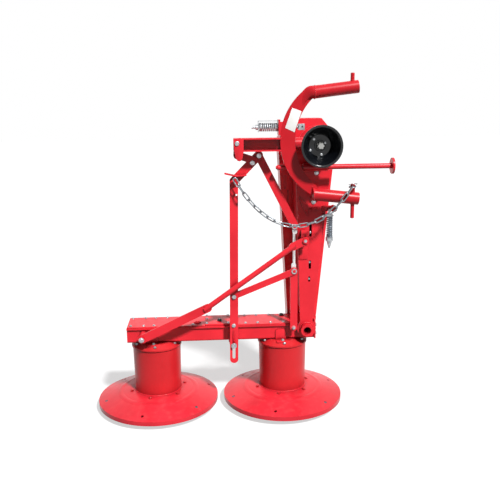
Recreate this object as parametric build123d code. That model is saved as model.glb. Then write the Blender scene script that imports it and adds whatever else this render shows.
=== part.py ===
from build123d import *
import math
import os

# Two-drum rotary mower for the three-point hitch of a small tractor. It stands
# on its own drums with the boom folded upright, as it is parked and delivered.
# X runs along the cutter bar with the outer drum on the left, Y points away from
# the tractor and Z is up. The origin is the foot of the inner drum's axis, on the
# floor. All lengths are in millimetres.

os.makedirs("parts", exist_ok=True)

# Clearances
RUN = 0.3
APART = 1.0
SWING = 5.0

# Drums, knife discs and glide dishes
DRUM_SPACING = 780.0
DRUM_TOP_R = 146.0
DRUM_FOOT_R = 142.0
DRUM_WALL = 6.0
DRUM_TOP = 396.0
DRUM_SHAFT_R = 25.0
DISC_R = 370.0
DISC_T = 7.0
DISC_LIP_Z = 34.0
DISC_RIM_Z = 60.0
DISC_CREASE_R = 238.0
DISC_CREASE_Z = 103.0
DISC_SEAT_R = 150.0
DISC_SEAT_Z = 116.0
KNIFE_COUNT = 3
KNIFE_START = 17.0
KNIFE_PIN_R = 9.0
KNIFE_CIRCLE_R = DISC_R - 43
DISH_R = DISC_R - 13
DISH_FLAT_R = 225.0
DISH_MID_R = 318.0
DISH_MID_Z = 18.0
DISH_RIM_Z = 36.0
DISH_T = 5.0
DISH_HUB_R = 45.0
DISH_PIN_R = 20.0
DISH_HUB_TOP = 48.0
CAP_R = 152.0
CAP_GAP = 4.0
CAP_RIM = 11.0
CAP_TOP_R = 112.0

# Cutter bar
BAR_BOTTOM = 438.0
BAR_TOP = 534.0
BAR_LEFT = -950.0
BAR_RIGHT = 188.0
BAR_HALF = 84.0
BAR_FLANGE = 96.0
FLANGE_T = 11.0
BAR_WALL = 8.0
COVER_T = 7.0
COVER_LEFT = -478.0
COVER_RIGHT = -324.0
COVER_STEP = 5.0
END_PLATE_TOP = BAR_TOP + 18

# Fold hinge between cutter bar and boom
HINGE_X = 137.0
JOURNAL_R = 25.0
JOURNAL_BORE_R = 22.0
HINGE_Z = BAR_TOP - JOURNAL_R - APART
BUSH_R = 38.0
BUSH_FRONT = -148.0

# Boom: a tapered box, with the belt guard behind it
PLATE_T = 12.0
PLATE_FRONT = -112.0
PLATE_BACK = PLATE_FRONT + PLATE_T
PLATE_LOBE_R = 57.0
BOOM_LEFT_LOW = 96.0
BOOM_LEFT_HIGH = 68.0
BOOM_RIGHT_LOW = 177.0
BOOM_RIGHT_HIGH = 268.0
BOOM_LOW_Z = 588.0
BOOM_HIGH_Z = 1471.0
BEAM_LOW_Z = 628.0
BEAM_HIGH_Z = 1500.0
BEAM_WALL = 8.0
GUARD_FRONT = 100.0
GUARD_DEPTH = 130.0

# Drive head at the top of the boom
SHAFT_X = 184.0
SHAFT_Z = 1616.0
HEAD_R = 105.0
HOUSING_R = 58.0
HOUSING_FRONT = -218.0
SHAFT_R = 20.0
STUB_R = 17.45
STUB_END = -275.0
CUP_RIM_R = 115.0
CUP_BACK_R = 64.0
CUP_RIM_Y = -315.0
CUP_BACK_Y = -222.0
CUP_WALL = 4.0

# Hitch frame and its swing pin
HITCH_SPAN = 683.0
HITCH_MID_Z = SHAFT_Z + 7.5
HITCH_PIN_R = 11.0
PIN_ROOT_R = 13.0
UPPER_SHOULDER = HITCH_MID_Z + HITCH_SPAN / 2
LOWER_SHOULDER = HITCH_MID_Z - HITCH_SPAN / 2
ARCH_Y = -225.0
ARCH_T = 16.0
ARCH_MID_Z = HITCH_MID_Z + 21
ARCH_OUT_X = 308.0
ARCH_OUT_R = HITCH_SPAN / 2 + 3.5
ARCH_IN_X = 365.0
ARCH_IN_R = ARCH_OUT_R - 26
ARCH_END_X = 169.0
TUBE_R = 35.0
TUBE_WALL = 7.0
SWING_Y = -184.0
SWING_Z = SHAFT_Z + 11
SWING_BOSS_R = 33.0
SWING_PIN_R = 15.0
SWING_LUG_X = 66.0


def block(x0, x1, y0, y1, z0, z1):
    """A box between two corners."""
    return Pos((x0 + x1) / 2, (y0 + y1) / 2, (z0 + z1) / 2) * Box(x1 - x0, y1 - y0, z1 - z0)


def along_y(face, y0, y1):
    """A shape drawn in X and Z, made solid from y0 back to y1."""
    return extrude(Plane.XZ.offset(-y1) * face, y1 - y0)


def along_x(face, x0, x1):
    """A shape drawn in Y and Z, made solid from x0 to x1."""
    return extrude(Plane.YZ.offset(x0) * face, x1 - x0)


def along_z(face, z0, z1):
    """A shape drawn in X and Y, made solid from z0 up to z1."""
    return extrude(Plane.XY.offset(z0) * face, z1 - z0)


def disc_y(x, z, r, y0, y1):
    """A round bar along Y."""
    return along_y(Pos(x, z) * Circle(r), y0, y1)


def disc_x(y, z, r, x0, x1):
    """A round bar along X."""
    return along_x(Pos(y, z) * Circle(r), x0, x1)


def disc_z(x, y, r, z0, z1):
    """A round bar along Z."""
    return along_z(Pos(x, y) * Circle(r), z0, z1)


def strap(start, end, width):
    """A flat bar's outline with round ends, between two pivots in X and Z."""
    dx = end[0] - start[0]
    dz = end[1] - start[1]
    middle = Pos((start[0] + end[0]) / 2, (start[1] + end[1]) / 2)
    turn = Rot(0, 0, math.degrees(math.atan2(dz, dx)))
    return middle * turn * SlotCenterToCenter(math.hypot(dx, dz), width)


def ring_z(points, x=0.0):
    """A turned piece about a vertical axis at x, from its outline of radius and height."""
    return Pos(x, 0, 0) * revolve(Plane.XZ * Polygon(*points, align=None), Axis.Z)


def save(node, shape):
    """Write one node's solids."""
    export_step(shape, f"parts/{node}.step")


# Glide dish: a shallow bowl that skids on the floor, with a hub that holds the drum's foot pin
def glide_dish(x):
    bowl = ring_z(
        [
            (0, 0),
            (DISH_FLAT_R, 0),
            (DISH_MID_R, DISH_MID_Z),
            (DISH_R, DISH_RIM_Z),
            (DISH_R, DISH_RIM_Z + DISH_T),
            (DISH_R - 2 * DISH_T, DISH_RIM_Z + DISH_T),
            (DISH_MID_R - DISH_T, DISH_MID_Z + DISH_T),
            (DISH_FLAT_R, DISH_T),
            (0, DISH_T),
        ],
        x,
    )
    hub = disc_z(x, 0, DISH_HUB_R, DISH_T, DISH_HUB_TOP)
    return bowl + hub - disc_z(x, 0, DISH_PIN_R + RUN, 2 * DISH_T, DISH_HUB_TOP)


# Knife disc: a domed disc with a turned-down lip, and the hub and pin that carry the glide dish
def knife_disc(x):
    foot = DISC_SEAT_Z - DISC_T
    dome = ring_z(
        [
            (0, foot),
            (DISC_SEAT_R, foot),
            (DISC_CREASE_R, DISC_CREASE_Z - DISC_T),
            (DISC_R - DISC_T, DISC_RIM_Z - DISC_T),
            (DISC_R - DISC_T, DISC_LIP_Z),
            (DISC_R, DISC_LIP_Z),
            (DISC_R, DISC_RIM_Z),
            (DISC_CREASE_R, DISC_CREASE_Z),
            (DISC_SEAT_R, DISC_SEAT_Z),
            (0, DISC_SEAT_Z),
        ],
        x,
    )
    hub = disc_z(x, 0, DISH_HUB_R, DISH_HUB_TOP + APART, foot)
    pin = disc_z(x, 0, DISH_PIN_R, 2 * DISH_T + APART, DISH_HUB_TOP + APART)
    disc = dome + hub + pin
    for index in range(2 * KNIFE_COUNT):
        angle = math.radians(KNIFE_START + index * 180 / KNIFE_COUNT)
        hole = disc_z(
            x + KNIFE_CIRCLE_R * math.cos(angle),
            KNIFE_CIRCLE_R * math.sin(angle),
            KNIFE_PIN_R,
            DISC_LIP_Z,
            DISC_CREASE_Z,
        )
        disc -= hole
    return disc


# Knife pins: a pin in every second hole of the disc, each on a short spring plate under the disc
def knife_pins(x):
    pins = []
    slope = (DISC_CREASE_Z - DISC_RIM_Z) / (DISC_R - DISC_CREASE_R)
    top = DISC_RIM_Z + slope * (DISC_R - KNIFE_CIRCLE_R)
    for index in range(KNIFE_COUNT):
        angle = math.radians(KNIFE_START + (2 * index + 1) * 180 / KNIFE_COUNT)
        pin = disc_z(0, 0, KNIFE_PIN_R, DISH_RIM_Z + DISH_T + SWING + 2, top)
        plate = block(-70, 18, -20, 20, DISH_RIM_Z + DISH_T + SWING, DISH_RIM_Z + DISH_T + SWING + 4)
        place = Pos(x + KNIFE_CIRCLE_R * math.cos(angle), KNIFE_CIRCLE_R * math.sin(angle), 0)
        pins.append(place * Rot(0, 0, math.degrees(angle)) * (pin + plate))
    return Compound(children=pins)


# Drum: a thin-walled shell, open below where it stands on the disc, with its shaft on top
def drum_shell(x):
    shell = ring_z(
        [
            (DRUM_FOOT_R - DRUM_WALL, DISC_SEAT_Z),
            (DRUM_FOOT_R, DISC_SEAT_Z),
            (DRUM_TOP_R, DRUM_TOP),
            (0, DRUM_TOP),
            (0, DRUM_TOP - DRUM_WALL),
            (DRUM_TOP_R - DRUM_WALL, DRUM_TOP - DRUM_WALL),
        ],
        x,
    )
    return shell + disc_z(x, 0, DRUM_SHAFT_R, DRUM_TOP, BAR_BOTTOM - 2)


# Drum cap: the fixed, domed bearing flange that hangs under the cutter bar
def drum_cap(x):
    low = DRUM_TOP + CAP_GAP
    bore = DRUM_SHAFT_R + RUN
    return ring_z(
        [
            (bore, low),
            (CAP_R, low),
            (CAP_R, low + CAP_RIM),
            (CAP_R - 6, low + CAP_RIM + 2),
            (CAP_TOP_R + 10, BAR_BOTTOM - 6),
            (CAP_TOP_R, BAR_BOTTOM),
            (bore, BAR_BOTTOM),
        ],
        x,
    )


# Gear trough: the open-topped beam that holds the gears, with a flange for the covers
def gear_trough():
    body = block(BAR_LEFT, BAR_RIGHT, -BAR_HALF, BAR_HALF, BAR_BOTTOM, BAR_TOP)
    low_edges = body.edges().filter_by(Axis.X).group_by(Axis.Z)[0]
    body = fillet(low_edges, 12)
    body += block(BAR_LEFT, BAR_RIGHT, -BAR_FLANGE, BAR_FLANGE, BAR_TOP - FLANGE_T, BAR_TOP)
    body -= block(
        BAR_LEFT + BAR_WALL,
        BAR_RIGHT - BAR_WALL,
        -BAR_HALF + BAR_WALL,
        BAR_HALF - BAR_WALL,
        BAR_BOTTOM + BAR_WALL,
        BAR_TOP,
    )
    return body - disc_y(HINGE_X, HINGE_Z, JOURNAL_R, -BAR_FLANGE - 1, BAR_FLANGE + 1)


def plain_cover(x0, x1):
    return block(x0, x1, -BAR_FLANGE + 3, BAR_FLANGE - 3, BAR_TOP, BAR_TOP + COVER_T)


def middle_cover():
    cover = block(COVER_LEFT, COVER_RIGHT, -BAR_HALF, BAR_HALF, BAR_TOP, BAR_TOP + COVER_T + COVER_STEP)
    return chamfer(cover.edges().group_by(Axis.Z)[-1], COVER_STEP / 2)


def bar_end_plate():
    plate = block(BAR_RIGHT, BAR_RIGHT + BAR_WALL, -BAR_FLANGE, BAR_FLANGE, BAR_BOTTOM, END_PLATE_TOP)
    return fillet(plate.edges().filter_by(Axis.X).group_by(Axis.Z)[-1], 20)


# Hinge journal: the hollow pin through the cutter bar that the boom folds on
def hinge_journal():
    pin = disc_y(HINGE_X, HINGE_Z, JOURNAL_R, BUSH_FRONT - 2, GUARD_FRONT + 30)
    return pin - disc_y(HINGE_X, HINGE_Z, JOURNAL_BORE_R, BUSH_FRONT - 2, GUARD_FRONT + 30)


# Layers of the lift linkage, front to back
STAY_Y = -185.0
LEVER_Y = (-172.0, -162.0)
LIFT_ROD_Y = (-158.0, -150.0)
STRUT_Y = (-149.0, -141.0)
CRANK_Y = (-141.0, -131.0)
TIE_ROD_Y = -123.0
PULL_BAR_Y = (-142.0, -132.0)

# Pivots of the lift linkage and the stay, in X and Z
STAY_FOOT = (-851.0, 497.5)
STAY_BEND_LOW = (-458.0, 680.0)
STAY_BEND_HIGH = (42.0, 1036.0)
STAY_HEAD = (113.5, 1070.0)
SLOT_STUD = (-307.0, 430.0)
ROD_BOLT = (-302.0, 735.5)
ROD_HEAD = (-293.0, 1419.0)
ROD_FOOT_Z = 344.0
CRANK_FOOT = (55.0, 527.0)
CRANK_HEAD = (55.0, 878.0)
PULL_EYE = (60.0, 1146.0)
LEVER_A = (-152.0, 1563.0)
LEVER_B = (-180.0, 1535.0)

STUD_R = 10.0
TIE_ROD_R = 8.0
TIE_EYE_WIDTH = 26.0
TIE_EYE_REACH = 35.0
ROD_WIDTH = 49.0
ROD_SLOT_W = 18.0
ROD_SLOT_LOW = 346.0
ROD_SLOT_HIGH = 527.0


def slot_stud():
    x, z = SLOT_STUD
    lug = block(x - 25, x + 25, -BAR_HALF - 12, -BAR_HALF, z - 25, BAR_TOP - FLANGE_T - 4)
    lug = fillet(lug.edges().filter_by(Axis.Y).group_by(Axis.Z)[0], 20)
    return lug + disc_y(x, z, STUD_R, LIFT_ROD_Y[1] + RUN, -BAR_HALF - 12)


def stay_bolt():
    x, z = STAY_FOOT
    boss = disc_y(x, z, 20, STAY_Y + 5 + RUN, -BAR_HALF)
    pin = disc_y(x, z, 12, STAY_Y - 5 - RUN, STAY_Y + 5 + RUN)
    head = along_y(Pos(x, z) * RegularPolygon(20, 6), STAY_Y - 15, STAY_Y - 5 - RUN)
    return boss + pin + head


def crank_stud():
    x, z = CRANK_FOOT
    base = block(x - 18, x + 18, -BAR_FLANGE - 3, -BAR_HALF, z - 24, BAR_TOP - FLANGE_T)
    return base + disc_y(x, z, STUD_R, CRANK_Y[0] - 8, -BAR_FLANGE - 3)


def lift_crank():
    outline = strap(CRANK_FOOT, CRANK_HEAD, 44)
    return along_y(outline, *CRANK_Y) - disc_y(*CRANK_FOOT, STUD_R, *CRANK_Y)


def lift_strut():
    return along_y(strap(ROD_BOLT, CRANK_HEAD, 38), *STRUT_Y)


def tie_rod():
    x0, z0 = CRANK_HEAD
    x1, z1 = PULL_EYE
    front = CRANK_Y[1]
    back = TIE_ROD_Y + 3
    low = along_y(strap((x0, z0), (x0, z0 + TIE_EYE_REACH), TIE_EYE_WIDTH), front, back)
    high = along_y(strap((x1, z1 - TIE_EYE_REACH), (x1, z1), TIE_EYE_WIDTH), front, back)
    rod = disc_z((x0 + x1) / 2, TIE_ROD_Y, TIE_ROD_R, z0 + TIE_EYE_REACH, z1 - TIE_EYE_REACH)
    return rod + low + high


def lift_rod():
    face = strap((SLOT_STUD[0], ROD_FOOT_Z), ROD_HEAD, ROD_WIDTH)
    slot = strap(
        (SLOT_STUD[0] - 1, ROD_SLOT_LOW + ROD_SLOT_W / 2),
        (SLOT_STUD[0] + 1, ROD_SLOT_HIGH - ROD_SLOT_W / 2),
        ROD_SLOT_W,
    )
    hole = Pos(ROD_HEAD[0] + 14, ROD_HEAD[1] - 80) * Circle(6)
    return along_y(face - slot - hole, *LIFT_ROD_Y)


def lift_rod_bolts():
    slide = disc_y(*SLOT_STUD, ROD_SLOT_W / 2 - 0.5, LIFT_ROD_Y[0], LIFT_ROD_Y[1])
    washer = disc_y(*SLOT_STUD, 17, LIFT_ROD_Y[0] - 4, LIFT_ROD_Y[0])
    nut = along_y(Pos(*SLOT_STUD) * RegularPolygon(14, 6), LIFT_ROD_Y[0] - 14, LIFT_ROD_Y[0] - 4)
    top = along_y(Pos(*ROD_BOLT) * RegularPolygon(13, 6), LIFT_ROD_Y[0] - 9, LIFT_ROD_Y[0])
    return Compound(children=[slide + washer + nut, top])


# Transport stay: a cranked bar from the outer end of the cutter bar to the boom
STAY_FLAT_Y = (STAY_Y - 5, STAY_Y + 5)


def stay_tube():
    """The round middle of the stay."""
    start = Vector(STAY_BEND_LOW[0] - 20, STAY_Y, STAY_BEND_LOW[1] - 12)
    end = Vector(STAY_BEND_HIGH[0] + 12, STAY_Y, STAY_BEND_HIGH[1] + 8)
    axis = end - start
    return extrude(Plane(origin=start, z_dir=axis) * Circle(16), axis.length)


def transport_stay():
    low = along_y(strap(STAY_FOOT, STAY_BEND_LOW, 50), *STAY_FLAT_Y)
    return low + stay_tube() - disc_y(*STAY_FOOT, 12 + RUN, *STAY_FLAT_Y)


# Stay eye: the flat end welded to the stay's tube, with the bolt that holds it to the boom
def stay_eye():
    eye = along_y(strap(STAY_BEND_HIGH, STAY_HEAD, 46), *STAY_FLAT_Y) - stay_tube()
    bolt = disc_y(*STAY_HEAD, 10, STAY_Y - 5, STAY_Y + 7)
    head = along_y(Pos(*STAY_HEAD) * RegularPolygon(16, 6), STAY_Y - 15, STAY_Y - 5)
    return eye + bolt + head


def boom_left(z):
    """The boom's left edge at height z."""
    share = (z - BOOM_LOW_Z) / (BOOM_HIGH_Z - BOOM_LOW_Z)
    return BOOM_LEFT_LOW + share * (BOOM_LEFT_HIGH - BOOM_LEFT_LOW)


def boom_right(z):
    """The boom's right edge at height z."""
    share = (z - BOOM_LOW_Z) / (BOOM_HIGH_Z - BOOM_LOW_Z)
    return BOOM_RIGHT_LOW + share * (BOOM_RIGHT_HIGH - BOOM_RIGHT_LOW)


def boom_outline(low, high, inset=0.0):
    """The tapered box seen from the front, between two heights."""
    return Polygon(
        (boom_left(low) + inset, low),
        (boom_right(low) - inset, low),
        (boom_right(high) - inset, high),
        (boom_left(high) + inset, high),
        align=None,
    )


# Slots of the front plate: X of the slot, low end, high end, width
PLATE_SLOTS = [
    (155.0, 1077.0, 1155.0, 15.0),
    (153.0, 882.0, 935.0, 14.0),
    (150.0, 802.0, 836.0, 12.0),
]


# Front plate: the boom's front arm, with the hinge bush at its foot
def boom_plate():
    face = boom_outline(BOOM_LOW_Z - 40, SHAFT_Z)
    face += Pos(HINGE_X, HINGE_Z) * Circle(PLATE_LOBE_R)
    face += Pos(SHAFT_X, SHAFT_Z) * Circle(HEAD_R)
    for x, low, high, width in PLATE_SLOTS:
        face -= strap((x, low + width / 2), (x, high - width / 2), width)
    plate = along_y(face, PLATE_FRONT, PLATE_BACK)
    plate += disc_y(HINGE_X, HINGE_Z, BUSH_R, BUSH_FRONT, PLATE_BACK + 2)
    plate -= disc_y(HINGE_X, HINGE_Z, JOURNAL_R + RUN, BUSH_FRONT, PLATE_BACK + 2)
    return plate - disc_y(SHAFT_X, SHAFT_Z, HOUSING_R, PLATE_FRONT, PLATE_BACK)


# Beam: the side, foot and head walls of the tapered box
def boom_beam():
    walls = boom_outline(BEAM_LOW_Z, BEAM_HIGH_Z, 4) - boom_outline(
        BEAM_LOW_Z + BEAM_WALL, BEAM_HIGH_Z - BEAM_WALL, 4 + BEAM_WALL
    )
    return along_y(walls, PLATE_BACK, GUARD_FRONT)


# Slots in the guard's front sheet, left of the boom: X, low end, high end, width
GUARD_SLOTS = [
    (28.0, 1335.0, 1420.0, 16.0),
    (46.0, 1215.0, 1330.0, 12.0),
]

# Outline of the belt guard round the large pulley, from the shaft's centre
GUARD_FOOT_R = 92.0
GUARD_HEAD = (
    (146, -56),
    (146, 24),
    (116, 79),
    (64, 141),
    (-62, 141),
    (-154, 84),
    (-195, 24),
    (-195, -61),
)


# Belt guard: the closed sheet-metal case around the pulleys
def belt_guard():
    head = [(SHAFT_X + x, SHAFT_Z + z) for x, z in GUARD_HEAD]
    foot = [(HINGE_X - GUARD_FOOT_R, HINGE_Z + 16), (HINGE_X + GUARD_FOOT_R, HINGE_Z + 16)]
    face = Polygon(*foot, *head, align=None)
    face += Pos(HINGE_X, HINGE_Z) * Circle(GUARD_FOOT_R)
    case = along_y(face, GUARD_FRONT, GUARD_FRONT + GUARD_DEPTH)
    case -= disc_y(HINGE_X, HINGE_Z, JOURNAL_R + RUN, GUARD_FRONT, GUARD_FRONT + 32)
    for x, low, high, width in GUARD_SLOTS:
        slot = strap((x, low + width / 2), (x, high - width / 2), width)
        case -= along_y(slot, GUARD_FRONT, GUARD_FRONT + 6)
    return case


def bearing_housing():
    housing = disc_y(SHAFT_X, SHAFT_Z, HOUSING_R, HOUSING_FRONT, GUARD_FRONT)
    return housing - disc_y(SHAFT_X, SHAFT_Z, SHAFT_R + RUN, HOUSING_FRONT, HOUSING_FRONT + 120)


# Guard cup round the input shaft: a tapered shell with a back plate
def pto_guard():
    cup = Plane.XY * Polygon(
        (SHAFT_R + 9, CUP_BACK_Y),
        (CUP_BACK_R, CUP_BACK_Y),
        (CUP_RIM_R - 3, CUP_RIM_Y + 8),
        (CUP_RIM_R, CUP_RIM_Y + 8),
        (CUP_RIM_R, CUP_RIM_Y),
        (CUP_RIM_R - CUP_WALL - 2, CUP_RIM_Y),
        (CUP_BACK_R - CUP_WALL, CUP_BACK_Y - CUP_WALL),
        (SHAFT_R + 9, CUP_BACK_Y - CUP_WALL),
        align=None,
    )
    shell = Pos(SHAFT_X, 0, SHAFT_Z) * revolve(cup, Axis.Y)
    spigot = disc_y(SHAFT_X, SHAFT_Z, CUP_BACK_R - 12, CUP_BACK_Y, HOUSING_FRONT)
    return shell + spigot - disc_y(SHAFT_X, SHAFT_Z, SHAFT_R + 9, CUP_BACK_Y - 1, HOUSING_FRONT)


# Input shaft: a six-spline stub, a collar and the journal in its housing
def input_shaft():
    stub = disc_y(SHAFT_X, SHAFT_Z, STUB_R, STUB_END, HOUSING_FRONT - 8)
    for index in range(6):
        groove = Pos(STUB_R, 0) * Rectangle(5.6, 9.4)
        cut = Pos(SHAFT_X, SHAFT_Z) * Rot(0, 0, 30 + index * 60) * groove
        stub -= along_y(cut, STUB_END, STUB_END + 45)
    collar = disc_y(SHAFT_X, SHAFT_Z, 26, HOUSING_FRONT - 8, HOUSING_FRONT - APART)
    journal = disc_y(SHAFT_X, SHAFT_Z, SHAFT_R, HOUSING_FRONT - APART, HOUSING_FRONT + 118)
    return stub + collar + journal


def swing_lug():
    lug = disc_x(SWING_Y, SWING_Z, SWING_BOSS_R, SWING_LUG_X, SHAFT_X - HOUSING_R + 20)
    web = block(80, 122, SWING_Y, PLATE_FRONT, SWING_Z - 26, SWING_Z + 26)
    lug = lug + web - disc_y(SHAFT_X, SHAFT_Z, HOUSING_R, HOUSING_FRONT, PLATE_FRONT)
    return lug - disc_x(SWING_Y, SWING_Z, SWING_PIN_R + RUN, SWING_LUG_X, 122)


def swing_pin():
    tube = disc_x(SWING_Y, SWING_Z, SWING_BOSS_R, -28, SWING_LUG_X - RUN)
    saddle = block(-28, 44, ARCH_Y + ARCH_T / 2, SWING_Y, SWING_Z - 30, SWING_Z + 30)
    return tube + saddle + disc_x(SWING_Y, SWING_Z, SWING_PIN_R, 44, 118)


# Parking stand in its sleeve
STAND_Y = -193.0
STAND_Z = SHAFT_Z - 121
STAND_R = 15.0
STAND_TAIL = -50.0
STAND_FOOT_X = 612.0
STAND_FOOT_R = 46.0
STAND_FOOT_T = 12.0
SLEEVE = (95.0, 235.0)


def stand_sleeve():
    sleeve = disc_x(STAND_Y, STAND_Z, 22, *SLEEVE)
    web = block(SLEEVE[0] + 15, SLEEVE[1] - 15, STAND_Y, PLATE_FRONT, STAND_Z - 12, STAND_Z + 12)
    return sleeve + web - disc_x(STAND_Y, STAND_Z, STAND_R + RUN, *SLEEVE)


def stand_leg():
    rod = disc_x(STAND_Y, STAND_Z, STAND_R, STAND_TAIL, STAND_FOOT_X - STAND_FOOT_T)
    foot = disc_x(STAND_Y, STAND_Z, STAND_FOOT_R, STAND_FOOT_X - STAND_FOOT_T, STAND_FOOT_X)
    knob = disc_x(STAND_Y, STAND_Z, 10, STAND_TAIL - 8, STAND_TAIL)
    return rod + foot + knob


def stay_bracket():
    x, z = STAY_HEAD
    face_y = STAY_Y + 7 + APART
    plate = block(x - 22, x + 22, face_y, face_y + 10, z - 30, z + 60)
    web = block(x - 14, x + 14, face_y + 10, PLATE_FRONT, z - 22, z + 52)
    return plate + web


# Upright spring at the boom's right edge, with its rod, washers and top pin
SPRING_X = 262.0
SPRING_Y = -140.0
SPRING_LOW = 1080.0
SPRING_HIGH = 1204.0
SPRING_R = 18.5
SPRING_WIRE = 4.5


def beads(radius, wire, length):
    """A closely wound spring's outline as a turned row of ridges, from 0 up to its length."""
    turns = int(length / (2.2 * wire))
    step = length / turns
    points = [(0, 0)]
    for index in range(turns):
        points.append((radius - wire * 0.8, index * step))
        points.append((radius, (index + 0.5) * step))
    points.append((radius - wire * 0.8, length))
    points.append((0, length))
    return revolve(Plane.XZ * Polygon(*points, align=None), Axis.Z)


def boom_spring():
    return Pos(SPRING_X, SPRING_Y, SPRING_LOW) * beads(SPRING_R, SPRING_WIRE, SPRING_HIGH - SPRING_LOW)


def boom_spring_mount():
    high = SPRING_HIGH
    bracket = block(boom_right(high) - 20, SPRING_X + 20, SPRING_Y - 16, PLATE_FRONT, high, high + 8)
    pin = disc_z(SPRING_X, SPRING_Y, 9, high + 8, high + 42)
    washer = disc_z(SPRING_X, SPRING_Y, SPRING_R + 3, SPRING_LOW - 22, SPRING_LOW)
    cone = Pos(SPRING_X, SPRING_Y, SPRING_LOW - 39) * Cone(7, SPRING_R - 2, 34)
    tip = disc_z(SPRING_X, SPRING_Y, 6, SPRING_LOW - 66, SPRING_LOW - 50)
    return Compound(children=[bracket + pin, washer + cone + tip])


# Hitch arch: a crescent plate with a tube at each end
UPPER_PIN_X = 359.0
LOWER_PIN_X = 375.0
UPPER_PIN_REACH = 40.0
LOWER_PIN_REACH = 78.0
UPPER_PIN_SEAT = UPPER_SHOULDER - 2 * TUBE_R + 1
LOWER_PIN_HEAD = LOWER_SHOULDER + 118
TUBE_ROOT_X = 150.0
TUBE_PAST_PIN = 33.0
TUBE_SLOPE = 0.116
UPPER_AXIS = UPPER_SHOULDER - TUBE_R - 2
LOWER_AXIS = LOWER_SHOULDER + TUBE_R + 2
UPPER_TUBE = (
    (TUBE_ROOT_X, UPPER_AXIS - TUBE_SLOPE * (UPPER_PIN_X - TUBE_ROOT_X)),
    (UPPER_PIN_X + TUBE_PAST_PIN, UPPER_AXIS + TUBE_SLOPE * TUBE_PAST_PIN),
)
LOWER_TUBE = (
    (TUBE_ROOT_X, LOWER_AXIS + TUBE_SLOPE * (LOWER_PIN_X - TUBE_ROOT_X)),
    (LOWER_PIN_X + TUBE_PAST_PIN, LOWER_AXIS - TUBE_SLOPE * TUBE_PAST_PIN),
)


def arm_tube(ends, radius):
    start = Vector(ends[0][0], ARCH_Y, ends[0][1])
    end = Vector(ends[1][0], ARCH_Y, ends[1][1])
    axis = end - start
    return extrude(Plane(origin=start, z_dir=axis) * Circle(radius), axis.length)


def hitch_arch():
    face = Pos(ARCH_OUT_X, ARCH_MID_Z) * Circle(ARCH_OUT_R)
    face -= Pos(ARCH_IN_X, ARCH_MID_Z) * Circle(ARCH_IN_R)
    left = ARCH_OUT_X - ARCH_OUT_R
    top = UPPER_TUBE[0][1] + TUBE_R
    low = LOWER_TUBE[0][1] - TUBE_R
    keep = Polygon(
        (left, top - TUBE_SLOPE * (TUBE_ROOT_X - left)),
        (left, low + TUBE_SLOPE * (TUBE_ROOT_X - left)),
        (ARCH_END_X, low - TUBE_SLOPE * (ARCH_END_X - TUBE_ROOT_X)),
        (ARCH_END_X, top + TUBE_SLOPE * (ARCH_END_X - TUBE_ROOT_X)),
        align=None,
    )
    plate = along_y(face & keep, ARCH_Y - ARCH_T / 2, ARCH_Y + ARCH_T / 2)
    arch = plate
    for ends in (UPPER_TUBE, LOWER_TUBE):
        arch += arm_tube(ends, TUBE_R)
    for root, tip in (UPPER_TUBE, LOWER_TUBE):
        middle = ((root[0] + tip[0]) / 2, (root[1] + tip[1]) / 2)
        arch -= arm_tube((middle, tip), TUBE_R - TUBE_WALL)
    arch -= disc_z(UPPER_PIN_X, ARCH_Y, PIN_ROOT_R, UPPER_PIN_SEAT, UPPER_SHOULDER)
    return arch - disc_z(LOWER_PIN_X, ARCH_Y, PIN_ROOT_R, LOWER_SHOULDER - 12, LOWER_SHOULDER + 3 * TUBE_R)


def upper_hitch_pin():
    root = disc_z(UPPER_PIN_X, ARCH_Y, PIN_ROOT_R, UPPER_PIN_SEAT, UPPER_SHOULDER)
    shank = disc_z(UPPER_PIN_X, ARCH_Y, HITCH_PIN_R, UPPER_SHOULDER, UPPER_SHOULDER + UPPER_PIN_REACH)
    return root + chamfer(shank.edges().sort_by(Axis.Z)[-1], 3)


def lower_hitch_pin():
    root = disc_z(LOWER_PIN_X, ARCH_Y, PIN_ROOT_R, LOWER_SHOULDER, LOWER_PIN_HEAD)
    shank = disc_z(LOWER_PIN_X, ARCH_Y, HITCH_PIN_R, LOWER_SHOULDER - LOWER_PIN_REACH, LOWER_SHOULDER)
    return root + chamfer(shank.edges().sort_by(Axis.Z)[0], 3)


# Mast: a channel open to the front, with a plate and an ear at its free end
MAST_LEFT = -294.0
MAST_LOW = SWING_Z - 38
MAST_HIGH = SWING_Z + 35
MAST_FRONT = -257.0
MAST_BACK = -200.0
MAST_WALL = 8.0
TOP_LINK_X = -262.0
TOP_LINK_R = 9.75


def mast_channel():
    right = ARCH_OUT_X - ARCH_OUT_R + 4
    channel = block(MAST_LEFT, right, MAST_FRONT, MAST_BACK, MAST_LOW, MAST_HIGH)
    channel -= block(
        MAST_LEFT,
        right,
        MAST_FRONT,
        MAST_BACK - MAST_WALL,
        MAST_LOW + MAST_WALL,
        MAST_HIGH - MAST_WALL,
    )
    channel += block(MAST_LEFT, MAST_LEFT + 54, MAST_BACK, LEVER_Y[0] - 10, MAST_LOW - 20, MAST_HIGH - 10)
    ear = strap((MAST_LEFT + 20, MAST_LOW - 25), (MAST_LEFT + 20, MAST_LOW), 40)
    channel += along_y(ear, MAST_BACK, LEVER_Y[0] - 10)
    face = Pos(ARCH_OUT_X, ARCH_MID_Z) * Circle(ARCH_OUT_R)
    channel -= along_y(face, ARCH_Y - ARCH_T / 2, ARCH_Y + ARCH_T / 2)
    hole_y = (MAST_FRONT + MAST_BACK - MAST_WALL) / 2
    return channel - disc_z(TOP_LINK_X, hole_y, TOP_LINK_R, MAST_LOW - 1, MAST_HIGH + 1)


def mast_gusset():
    ear = (MAST_LEFT + 20, MAST_LOW - 22)
    return along_y(strap(ear, LEVER_B, 42), LEVER_Y[0] - 10, LEVER_Y[0])


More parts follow.
